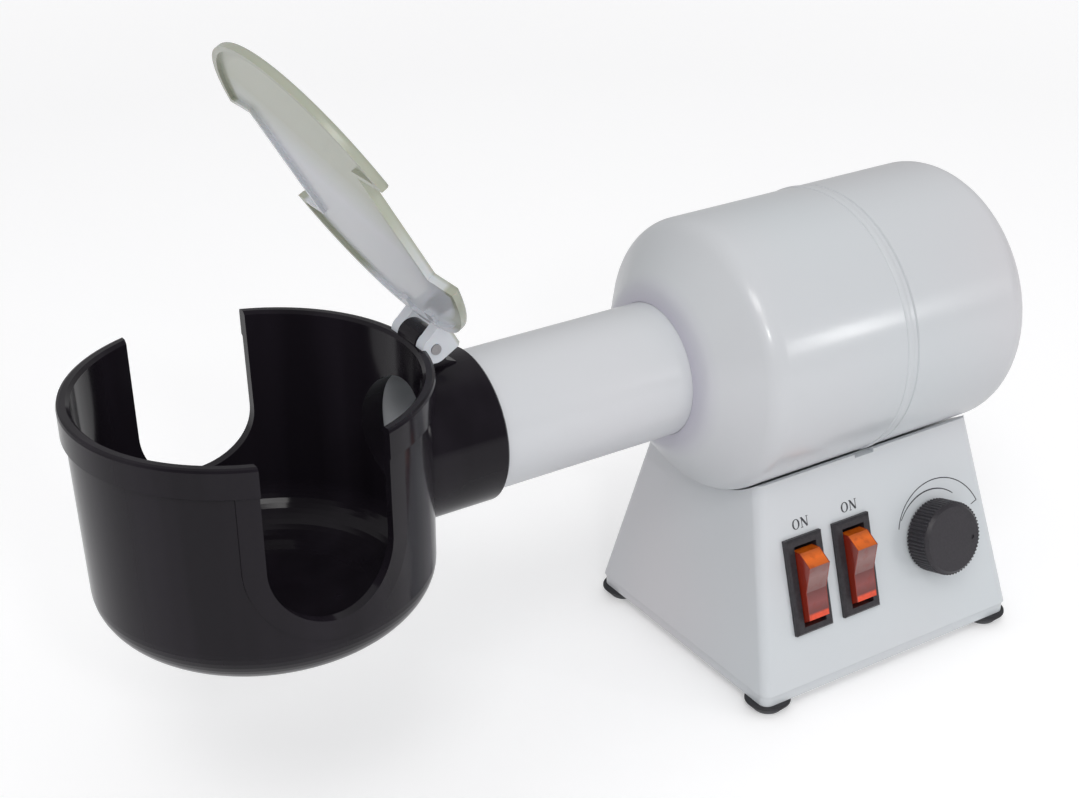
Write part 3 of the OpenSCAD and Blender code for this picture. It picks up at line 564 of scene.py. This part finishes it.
class WARMER_OT_cup(bpy.types.Operator):
    """High-gloss black plastic on the cup, with faint upright flow marks"""

    bl_idname = "warmer.cup"
    bl_label = "Cup"

    def execute(self, context):
        tone = tuple(context.scene.warmer_plastic.cup_tone)
        finish = Finish("gloss_black", tone, 0.12, ior=1.49, specular_ior_level=0.2)
        upright = finish.stretched((1.0, 1.0, 0.1))
        flow = finish.noise(70.0, 2.0, at=upright)
        finish.colour(finish.ramp(flow, (0.35, tone), (0.72, shaded(tone, 1.7))))
        finish.rough(finish.spread(flow, 0.09, 0.15, 0.3, 0.75))
        finish.bump(finish.noise(38.0, 1.0, at=upright), 0.3, 0.0003)
        finish.on("cup")
        return {"FINISHED"}


# The lid's zones, in millimetres. Along the direction below, from the pin, a pale bluish painted
# reflection on the plate fades to olive between two distances, with a soft wave
REFLECTION_ALONG = np.array([LID_TIP[0], -0.45, LID_TIP[2]])
REFLECTION_FADE_START, REFLECTION_FADE_END, REFLECTION_WAVE = 44.0, 68.0, 4.0
# The plate lies 5 to 6.5 over the pin, and its upper side is milky all over
MILKY_START, MILKY_END = 5.4, 6.2
# The round edge is denser from this distance to a point under the plate's middle
EDGE_CENTRE = PIN_AT + (50.5 * LID_TIP - 5.0 * LID_UP) * MM
EDGE_START, EDGE_END = 43.0, 44.6
# The ears stay clear up to this distance from the pin
EAR_START, EAR_END = 11.0, 15.0


class WARMER_OT_lid(bpy.types.Operator):
    """Translucent plastic on the lid: grey-olive towards its tip, with a pale bluish painted
    reflection towards the hinge, and denser along its round edge. A faint glow paints in light from
    above."""

    bl_idname = "warmer.lid"
    bl_label = "Lid"

    def execute(self, context):
        olive = tuple(context.scene.warmer_plastic.lid_tone)
        # the first tone is a pale bluish painted reflection; the last number is the strength of a
        # painted glow
        reflected_pale, edge_tone, painted_glow_strength = (0.57, 0.59, 0.63), shaded(olive, 0.86), 0.17
        finish = Finish(
            "frosted_lid",
            olive,
            0.2,
            ior=1.47,
            transmission_weight=0.12,
            subsurface_weight=0.1,
            subsurface_scale=0.003,
        )

        def zone(distance, start, end, most=1.0):
            return finish.spread(distance, 0.0, most, start * MM, end * MM)

        # painted reflection: pale bluish on the plate near the hinge, fading to olive towards the
        # tip
        wave = finish.spread(finish.noise(14.0, 0.0), -REFLECTION_WAVE * MM, REFLECTION_WAVE * MM)
        reach = finish.maths("ADD", finish.along(REFLECTION_ALONG, PIN_AT), wave)
        under = finish.mix(zone(reach, REFLECTION_FADE_START, REFLECTION_FADE_END), reflected_pale, olive)
        milky = zone(finish.along(LID_UP, PIN_AT), MILKY_START, MILKY_END, most=0.75)
        plate = finish.mix(milky, under, olive)
        edge = zone(finish.distance(EDGE_CENTRE), EDGE_START, EDGE_END)
        past_ears = zone(finish.distance(PIN_AT, (1.0, 0.0, 1.0)), EAR_START, EAR_END)
        body = finish.mix(finish.maths("MULTIPLY", edge, past_ears), plate, edge_tone)
        finish.colour(body)
        # painted light: a faint glow stands for light from above coming through to the under side
        kept_back = finish.maths("MULTIPLY", milky, painted_glow_strength)
        finish.glow(body, finish.maths("SUBTRACT", painted_glow_strength, kept_back))
        finish.rough(finish.spread(finish.noise(30.0, 1.0), 0.17, 0.24, 0.3, 0.7))
        finish.bump(finish.noise(240.0, 1.0), 0.2, 0.00002)
        finish.on("lid")
        return {"FINISHED"}


# ---- Controls ---------------------------------------------------------------


# A rocker stands at one end of its range, and its pivot's axes are turned by half of that range
ROCKER_SWING = -np.radians(joint_named("power_rock")["range_deg"][0]) / 2
ROCKER_HALF_L, ROCKER_HALF_W = 12.2, 4.0
# Tones of its facets, from the lower end to the upper one, and of its side walls: a painted glow
# at the lower end, painted shade on the lower face and a pale painted sheen on the upper face
GLOW_RED, LOW_SHADE_BROWN, LOW_SHADE_ROSE = (0.72, 0.06, 0.012), (0.13, 0.026, 0.024), (0.22, 0.05, 0.048)
HIGH_SHEEN, HIGH_SHEEN_PALE, WALL_RED = (0.18, 0.07, 0.064), (0.25, 0.125, 0.115), (0.22, 0.018, 0.007)


def lamp_finish(name, pivot, tone):
    """Lit translucent rocker. Its colour follows its own facets, as painted light and shade on one
    orange
    plastic: run is the distance along the rocker from its pivot, over its half length, and each
    facet has its own stretch of run. The two side walls, where the distance across is nearly half
    the width, are a deeper red."""
    finish = Finish(name, tone, 0.22, ior=1.49, coat_weight=0.4, coat_roughness=0.1)
    lengthwise = PANEL_UP * np.cos(ROCKER_SWING) + PANEL_OUT * np.sin(ROCKER_SWING)
    half = ROCKER_HALF_L * MM
    run = finish.spread(finish.along(lengthwise, pivot), 0.0, 1.0, -half, half)
    # painted light and shade: each facet of the one orange plastic gets its own lit or shaded tone
    facets = finish.ramp(
        run,
        (0.0, GLOW_RED), (0.19, GLOW_RED),
        (0.22, LOW_SHADE_BROWN), (0.34, LOW_SHADE_ROSE), (0.495, LOW_SHADE_BROWN),
        (0.505, HIGH_SHEEN), (0.72, HIGH_SHEEN_PALE), (0.865, HIGH_SHEEN),
        (0.875, shaded(tone, 0.75)), (0.94, tone), (1.0, shaded(tone, 0.6)),
    )
    streaks = finish.spread(finish.noise(420.0, 2.0), 0.0, 0.5, 0.5, 0.8)
    streaked = finish.mix(streaks, facets, WALL_RED)
    across = finish.maths("ABSOLUTE", finish.along(PANEL_RIGHT, pivot))
    wall_start, wall_end = ROCKER_HALF_W - 0.35, ROCKER_HALF_W - 0.15
    side = finish.spread(across, 0.0, 1.0, wall_start * MM, wall_end * MM)
    lit = finish.mix(side, streaked, WALL_RED)
    finish.colour(lit)
    finish.glow(lit, 0.08)
    finish.bump(finish.noise(700.0, 1.0), 0.2, 0.00002)
    return finish


class WARMER_OT_switches(bpy.types.Operator):
    """Satin black switch bodies and lit orange rockers"""

    bl_idname = "warmer.switches"
    bl_label = "Switches"

    def execute(self, context):
        settings = context.scene.warmer_plastic
        tone, lit = tuple(settings.bezel_tone), tuple(settings.lamp_tone)
        finish = Finish("satin_black", tone, 0.42, ior=1.47)
        mottle = finish.noise(900.0, 1.0)
        finish.colour(finish.ramp(mottle, (0.35, shaded(tone, 0.85)), (0.65, shaded(tone, 1.2))))
        finish.bump(finish.noise(2600.0, 1.0), 0.4, 0.00003)
        finish.on("power_switch_body", "heat_switch_body")
        lamp_finish("power_lamp", POWER_AT, lit).on("power_rocker")
        lamp_finish("heat_lamp", HEAT_AT, lit).on("heat_rocker")
        return {"FINISHED"}


class WARMER_OT_knob(bpy.types.Operator):
    """Grained dark plastic on the knob"""

    bl_idname = "warmer.knob"
    bl_label = "Knob"

    def execute(self, context):
        tone = tuple(context.scene.warmer_plastic.knob_tone)
        finish = Finish("grained_black", tone, 0.5, ior=1.46)
        grain = finish.noise(1500.0, 2.0)
        finish.colour(finish.ramp(grain, (0.4, shaded(tone, 0.9)), (0.66, shaded(tone, 1.15))))
        finish.rough(finish.spread(grain, 0.34, 0.46, 0.3, 0.7))
        finish.bump(grain, 0.3, 0.00002)
        finish.on("heat_knob")
        return {"FINISHED"}


# ---- Small parts ------------------------------------------------------------


def metal(name, tone, roughness, brush=(1.0, 1.0, 1.0)):
    """Bare or plated metal with fine scratches stretched by a brush direction."""
    finish = Finish(name, tone, roughness, metallic=1.0)
    marks = finish.noise(900.0, 3.0, at=finish.stretched(brush))
    finish.rough(finish.spread(marks, roughness * 0.75, min(1.0, roughness * 1.4), 0.3, 0.7))
    finish.colour(finish.ramp(marks, (0.35, shaded(tone, 0.88)), (0.7, shaded(tone, 1.08))))
    finish.bump(marks, 0.3, 0.00002)
    return finish


def moulded(name, tone, roughness, grain=1200.0):
    """Plain moulded plastic or rubber with a fine grain."""
    finish = Finish(name, tone, roughness)
    speckle = finish.noise(grain, 2.0)
    finish.colour(finish.ramp(speckle, (0.35, shaded(tone, 0.85)), (0.7, shaded(tone, 1.15))))
    finish.rough(finish.spread(speckle, roughness * 0.9, min(1.0, roughness * 1.12), 0.3, 0.7))
    finish.bump(speckle, 0.35, 0.00003)
    return finish


class WARMER_OT_feet(bpy.types.Operator):
    """Dark rubber on the feet, dusty along the lower rim"""

    bl_idname = "warmer.feet"
    bl_label = "Feet"

    def execute(self, context):
        dark, dusty = (0.028, 0.028, 0.032), (0.16, 0.165, 0.18)
        finish = Finish("foot_rubber", dark, 0.6)
        height = finish.spread(finish.along((0.0, 0.0, 1.0)), 0.0, 1.0, 0.0, 4 * MM)
        worn = mixed(dark, dusty, 0.5)
        finish.colour(finish.ramp(height, (0.0, dusty), (0.25, worn), (0.55, dark)))
        finish.bump(finish.noise(1300.0, 2.0), 0.4, 0.00004)
        finish.on("rubber_feet")
        return {"FINISHED"}


class WARMER_OT_metalwork(bpy.types.Operator):
    """Zinc, ground steel, brass and aluminium on the screws, shafts and sheet parts"""

    bl_idname = "warmer.metalwork"
    bl_label = "Metalwork"

    def execute(self, context):
        lengthwise = (0.1, 1.0, 1.0)
        metal("zinc_plate", (0.56, 0.57, 0.58), 0.32).on(
            "foot_screws", "saddle_screws", "saddle_nuts", "cover_screws", "motor_screws",
            "dial_nut", "collar_screw",
        )
        metal("ground_steel", (0.62, 0.62, 0.63), 0.2, lengthwise).on("motor_shaft", "dial_shaft")
        metal("dull_steel", (0.36, 0.35, 0.36), 0.4).on("hinge_pin")
        metal("bright_sheet", (0.68, 0.68, 0.69), 0.28, (0.15, 1.0, 1.0)).on(
            "heat_shield", "shield_brackets", "motor_can"
        )
        metal("tab_brass", (0.72, 0.50, 0.22), 0.3).on("switch_terminals")
        metal("cast_aluminium", (0.74, 0.75, 0.76), 0.38).on("triac_heatsink", "dial_body")
        metal("coil_scale", (0.24, 0.22, 0.21), 0.55).on("heater_coil")
        metal("dark_iron", (0.2, 0.19, 0.19), 0.5).on("motor_magnets")
        metal("varnished_iron", (0.32, 0.14, 0.06), 0.45).on("motor_armature")
        return {"FINISHED"}


class WARMER_OT_inner_works(bpy.types.Operator):
    """Nylon, laminate, mica and rubber on the parts inside the housing and the drum"""

    bl_idname = "warmer.inner_works"
    bl_label = "Inner Works"

    def execute(self, context):
        moulded("glass_nylon", (0.03, 0.03, 0.033), 0.5).on(
            "motor_bracket", "fan_impeller", "cable_gland"
        )
        moulded("natural_nylon", (0.70, 0.68, 0.60), 0.45).on(
            "board_standoffs", "terminal_block", "motor_endcap"
        )
        moulded("board_green", (0.02, 0.12, 0.05), 0.35, 500.0).on("control_board")
        moulded("part_cases", (0.30, 0.20, 0.08), 0.4).on("board_parts")
        moulded("soft_rubber", (0.02, 0.02, 0.022), 0.7).on("wire_grommet")
        moulded("ceramic", (0.66, 0.64, 0.58), 0.4).on("thermostat")
        moulded("mica", (0.50, 0.42, 0.27), 0.35, 300.0).on("heater_frame")
        return {"FINISHED"}


# ---- Printed marks ----------------------------------------------------------


INK_PROUD = 0.03  # thickness of the ink, in millimetres
INK_THIN = (0.3, 0.3, 0.32)


def ink_finish(settings):
    """Flat screen-printing ink, a little thin in places."""
    tone = tuple(settings.ink)
    finish = Finish("panel_ink", tone, 0.5)
    thin = mixed(tone, INK_THIN, 0.25)
    finish.colour(finish.ramp(finish.noise(1800.0, 2.0), (0.4, tone), (0.75, thin)))
    return finish.material


def letter_o(height):
    """Capital O: an outer ellipse and a narrower inner one, so that its sides are thick and its top
    and bottom are thin. Returns strokes as (path, widths)."""
    turn = np.linspace(0.0, 2 * np.pi, 49)
    path = np.stack([0.34 * np.cos(turn), 0.5 + 0.47 * np.sin(turn)], axis=1) * height
    widths = (0.07 + 0.12 * np.abs(np.cos(turn)) ** 1.5) * height
    return [(path, widths)]


def letter_n(height):
    """Capital N: thin uprights, a thick diagonal and three short serifs. Its strokes are given
    in parts of the height, from one end to the other."""
    upright, diagonal, serif = 0.08, 0.19, 0.06
    strokes = [
        ((-0.30, 0.0), (-0.30, 1.0), upright),
        ((0.32, 0.02), (0.32, 1.0), upright),
        ((-0.32, 0.97), (0.31, 0.03), diagonal),
        ((-0.44, 0.02), (-0.18, 0.02), serif),
        ((0.20, 0.98), (0.46, 0.98), serif),
        ((-0.46, 0.98), (-0.28, 0.98), serif),
    ]
    return [(np.array([a, b]) * height, np.full(2, width * height)) for a, b, width in strokes]


# Middle of each word, right and up from its rocker's pivot, in millimetres
ON_MARKS = {
    "power_on_mark": (POWER_AT, np.array([0.6, 17.5])),
    "heat_on_mark": (HEAT_AT, np.array([0.75, 17.4])),
}
# Middle of each letter, right of the word's middle, in parts of the height
LETTERS = ((-0.48, letter_o), (0.52, letter_n))


class WARMER_OT_switch_marks(bpy.types.Operator):
    """The word ON, printed over each switch"""

    bl_idname = "warmer.switch_marks"
    bl_label = "Switch Marks"

    def execute(self, context):
        settings = context.scene.warmer_marks
        height = settings.letter_height / MM
        ink = ink_finish(settings)
        for name, (pivot, middle) in ON_MARKS.items():
            on_paint = pivot - PANEL_OUT * np.dot(pivot - KNOB_AT, PANEL_OUT)
            lines = [
                ribbon(on_paint, path + middle + [across * height, 0.0], widths, INK_PROUD)
                for across, letter in LETTERS
                for path, widths in letter(height)
            ]
            make_piece(name, *joined(lines), ink, "warmer")
        return {"FINISHED"}


# The crescent's arcs: radius in millimetres, and clockwise angles from the top in degrees
INNER_ARC_R, INNER_ARC_START, INNER_ARC_END = 14.9, -57.0, 42.0
OUTER_ARC_R, OUTER_ARC_GROWTH, OUTER_ARC_START, OUTER_ARC_END = 15.0, 5.5, -68.0, 73.0
TICK_LEN = 2.6


def polar(radius, clockwise_from_up):
    """Points (right, up) at a radius and a clockwise angle from the top, in degrees."""
    radius, angle = np.broadcast_arrays(radius, np.radians(clockwise_from_up))
    return np.stack([radius * np.sin(angle), radius * np.cos(angle)], axis=-1)


class WARMER_OT_dial_scale(bpy.types.Operator):
    """The crescent round the knob: an even inner arc and an outer arc that grows clockwise"""

    bl_idname = "warmer.dial_scale"
    bl_label = "Dial Scale"

    def execute(self, context):
        settings = context.scene.warmer_marks
        line = settings.scale_line / MM
        part = np.linspace(0.0, 1.0, 60)
        inner = polar(INNER_ARC_R, INNER_ARC_START + (INNER_ARC_END - INNER_ARC_START) * part)
        inner_widths = line * (0.6 + 0.5 * np.sin(np.pi * part))
        part = np.linspace(0.0, 1.0, 80)
        outer_turn = OUTER_ARC_START + (OUTER_ARC_END - OUTER_ARC_START) * part
        outer = polar(OUTER_ARC_R + OUTER_ARC_GROWTH * part, outer_turn)
        tick_r = OUTER_ARC_R + OUTER_ARC_GROWTH - np.array([0.0, TICK_LEN])
        tick = polar(tick_r, OUTER_ARC_END)
        strokes = [
            (inner, inner_widths),
            (outer, np.full(len(outer), line * 0.8)),
            (tick, np.full(len(tick), line * 0.7)),
        ]
        lines = [ribbon(KNOB_AT, path, widths, INK_PROUD) for path, widths in strokes]
        make_piece("dial_scale", *joined(lines), ink_finish(settings), "warmer")
        return {"FINISHED"}


# ---- Stage ------------------------------------------------------------------

CAMERA_AT = np.array([-255.302, -395.811, 337.065]) * MM
CAMERA_AZIMUTH, CAMERA_ELEVATION, CAMERA_ROLL = np.radians([-31.640, 26.358, -1.038])
SENSOR_WIDTH = 36.0

# The floor, in metres: half its width, how far it reaches to the front and up behind, and where
# its curve starts and how high it is
FLOOR_HALF_W, FLOOR_REACH, FLOOR_CURVE_Y, FLOOR_CURVE_R = 4.0, 3.0, 1.6, 1.2
# Its paper grows darker and its added whiteness stronger between these distances
NEAR, FAR = 0.7, 1.7
FAR_SHADE = 0.45
NEAR_WHITENESS, FAR_WHITENESS = 0.32, 0.80
# Part of the added whiteness that gloss shows, so that black plastic stays black
GLOSS_SHARE = 0.3

# What gloss sees of the world: a dim room on the camera's side, a paler one behind the object
ROOM_DIM, ROOM_PALE = 0.16, 0.5
ROOM_DIM_Y, ROOM_PALE_Y = -0.35, 0.25

WHITE = (1.0, 1.0, 1.0)
OBJECT_MIDDLE = (0.03, 0.0, 0.09)
# Each lamp: place, the point it faces, size, power in watts, colour
LAMPS = {
    "key_lamp": ((-0.55, -0.75, 1.25), OBJECT_MIDDLE, (0.5, 0.4), 4.0, (1.0, 0.99, 0.98)),
    "side_flash": ((0.50, -0.58, 0.26), (0.066, -0.039, 0.122), (0.04, 0.10), 0.3, WHITE),
    "camera_flash": ((-0.20, -0.52, 0.42), OBJECT_MIDDLE, (0.06, 0.05), 0.45, WHITE),
}


def camera_matrix():
    """The camera looks along an azimuth and an elevation, then rolls about its line of sight."""
    az, el, roll = CAMERA_AZIMUTH, CAMERA_ELEVATION, CAMERA_ROLL
    back = np.array([np.sin(az) * np.cos(el), -np.cos(az) * np.cos(el), np.sin(el)])
    right = np.cross(-back, [0.0, 0.0, 1.0])
    right /= np.linalg.norm(right)
    up = np.cross(right, -back)
    turned_right = np.cos(roll) * right + np.sin(roll) * up
    turned_up = -np.sin(roll) * right + np.cos(roll) * up
    rotation = Matrix(np.stack([turned_right, turned_up, back], axis=1).tolist()).to_4x4()
    return Matrix.Translation(Vector(CAMERA_AT.tolist())) @ rotation


def soft_box(name, at, look_at, size, power, tone):
    """A rectangular area lamp that faces a point."""
    lamp = bpy.data.lights.new(name, "AREA")
    lamp.shape = "RECTANGLE"
    lamp.size, lamp.size_y = size
    lamp.energy = power
    lamp.color = tone
    holder = bpy.data.objects.new(name, lamp)
    holder.location = at
    holder.rotation_euler = (Vector(look_at) - Vector(at)).to_track_quat("-Z", "Y").to_euler()
    bpy.context.scene.collection.objects.link(holder)


def floor_paper(tone):
    """Matt paper. It adds light that only camera, glossy and transmission rays see, so that it is
    near white there and still takes the object's shadow."""
    finish = Finish("floor_paper", tone, 0.9, specular_ior_level=0.1)
    far = finish.spread(finish.distance((0.0, 0.0, 0.0), (1.0, 1.0, 0.0)), 0.0, 1.0, NEAR, FAR)
    finish.colour(finish.mix(far, tone, shaded(tone, FAR_SHADE)))
    finish.bump(finish.noise(300.0, 2.0), 0.1, 0.0001)
    path = finish.node("ShaderNodeLightPath").outputs
    direct = finish.maths("MAXIMUM", path["Is Camera Ray"], path["Is Transmission Ray"])
    mirrored = finish.maths("MULTIPLY", path["Is Glossy Ray"], GLOSS_SHARE)
    seen = finish.maths("MAXIMUM", direct, mirrored)
    whiteness = finish.spread(far, NEAR_WHITENESS, FAR_WHITENESS)
    finish.glow((*WHITE, 1.0), finish.maths("MULTIPLY", seen, whiteness))
    return finish.material


def floor_piece(tone):
    """A wide pale floor that curves up far behind the object: straight, a quarter circle, and
    straight up."""
    bend = np.linspace(0.0, np.pi / 2, 24)
    wall_y = FLOOR_CURVE_Y + FLOOR_CURVE_R
    depth = np.concatenate([[-FLOOR_REACH], FLOOR_CURVE_Y + FLOOR_CURVE_R * np.sin(bend), [wall_y]])
    height = np.concatenate([[0.0], FLOOR_CURVE_R * (1 - np.cos(bend)), [FLOOR_REACH]])
    corners = np.stack([np.tile([-FLOOR_HALF_W, FLOOR_HALF_W], len(depth)),
                        np.repeat(depth, 2), np.repeat(height, 2)], axis=1)
    mesh = bpy.data.meshes.new("floor")
    mesh.from_pydata(corners.tolist(), [], grid_faces(len(depth), 2)[:, ::-1].tolist())
    mesh.polygons.foreach_set("use_smooth", np.full(len(mesh.polygons), True))
    mesh.materials.append(floor_paper(tone))
    floor = bpy.data.objects.new("floor", mesh)
    bpy.context.scene.collection.objects.link(floor)


def light_world(daylight):
    """White to the camera, a dim room to gloss and through clear plastic, paler on the far side,
    and an even daylight for everything else."""
    world = bpy.data.worlds.new("studio")
    bpy.context.scene.world = world
    world.use_nodes = True
    maker = NodeMaker(world.node_tree)
    background = maker.tree.nodes["Background"]
    heading = maker.node("ShaderNodeTexCoord").outputs["Generated"]
    depth = maker.node("ShaderNodeSeparateXYZ", {0: heading}).outputs["Y"]
    room = maker.spread(depth, ROOM_DIM, ROOM_PALE, ROOM_DIM_Y, ROOM_PALE_Y, shape="SMOOTHSTEP")
    path = maker.node("ShaderNodeLightPath").outputs
    indirect = maker.maths("MAXIMUM", path["Is Glossy Ray"], path["Is Transmission Ray"])

    def either(amount, low, high):
        inputs = {"Factor": amount, "A": low, "B": high}
        return maker.node("ShaderNodeMix", inputs, data_type="FLOAT").outputs["Result"]

    unseen = either(indirect, daylight, room)
    maker.link(either(path["Is Camera Ray"], unseen, 1.0), background.inputs["Strength"])
    background.inputs["Color"].default_value = (*WHITE, 1.0)


class WARMER_OT_stage(bpy.types.Operator):
    """Camera, pale floor, soft lamps and daylight"""

    bl_idname = "warmer.stage"
    bl_label = "Stage"

    def execute(self, context):
        scene = context.scene
        settings = scene.warmer_stage
        lens = bpy.data.cameras.new("camera")
        lens.sensor_width = SENSOR_WIDTH
        lens.lens = settings.focal_length
        lens.clip_start, lens.clip_end = 0.01, 50.0
        camera = bpy.data.objects.new("camera", lens)
        camera.matrix_world = camera_matrix()
        scene.collection.objects.link(camera)
        scene.camera = camera
        floor_piece(tuple(settings.floor_tone))
        for name, lamp in LAMPS.items():
            soft_box(name, *lamp)
        light_world(settings.daylight)
        scene.view_settings.view_transform = "Standard"
        return {"FINISHED"}


# ---- Panel and registration -------------------------------------------------

SETTINGS = {
    "warmer_enamel": WarmerEnamelSettings,
    "warmer_plastic": WarmerPlasticSettings,
    "warmer_marks": WarmerMarkSettings,
    "warmer_stage": WarmerStageSettings,
}

STEPS = (
    WARMER_OT_stage,
    WARMER_OT_enamel,
    WARMER_OT_cup,
    WARMER_OT_lid,
    WARMER_OT_switches,
    WARMER_OT_knob,
    WARMER_OT_feet,
    WARMER_OT_metalwork,
    WARMER_OT_inner_works,
    WARMER_OT_switch_marks,
    WARMER_OT_dial_scale,
)


class WARMER_PT_steps(bpy.types.Panel):
    """Lists the warmer's settings and steps"""

    bl_idname = "WARMER_PT_steps"
    bl_label = "Frame Warmer"
    bl_space_type = "VIEW_3D"
    bl_region_type = "UI"
    bl_category = "Warmer"

    def draw(self, context):
        for name, group in SETTINGS.items():
            box = self.layout.box()
            for key in group.__annotations__:
                box.prop(getattr(context.scene, name), key)
        for step in STEPS:
            self.layout.operator(step.bl_idname)


def register():
    for name, group in SETTINGS.items():
        bpy.utils.register_class(group)
        setattr(bpy.types.Scene, name, bpy.props.PointerProperty(type=group))
    for step in STEPS:
        bpy.utils.register_class(step)
    bpy.utils.register_class(WARMER_PT_steps)


def unregister():
    bpy.utils.unregister_class(WARMER_PT_steps)
    for step in reversed(STEPS):
        bpy.utils.unregister_class(step)
    for name, group in SETTINGS.items():
        delattr(bpy.types.Scene, name)
        bpy.utils.unregister_class(group)


def main():
    """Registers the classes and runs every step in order."""
    register()
    for step in STEPS:
        group, name = step.bl_idname.split(".")
        getattr(getattr(bpy.ops, group), name)()


if __name__ == "__main__":
    main()
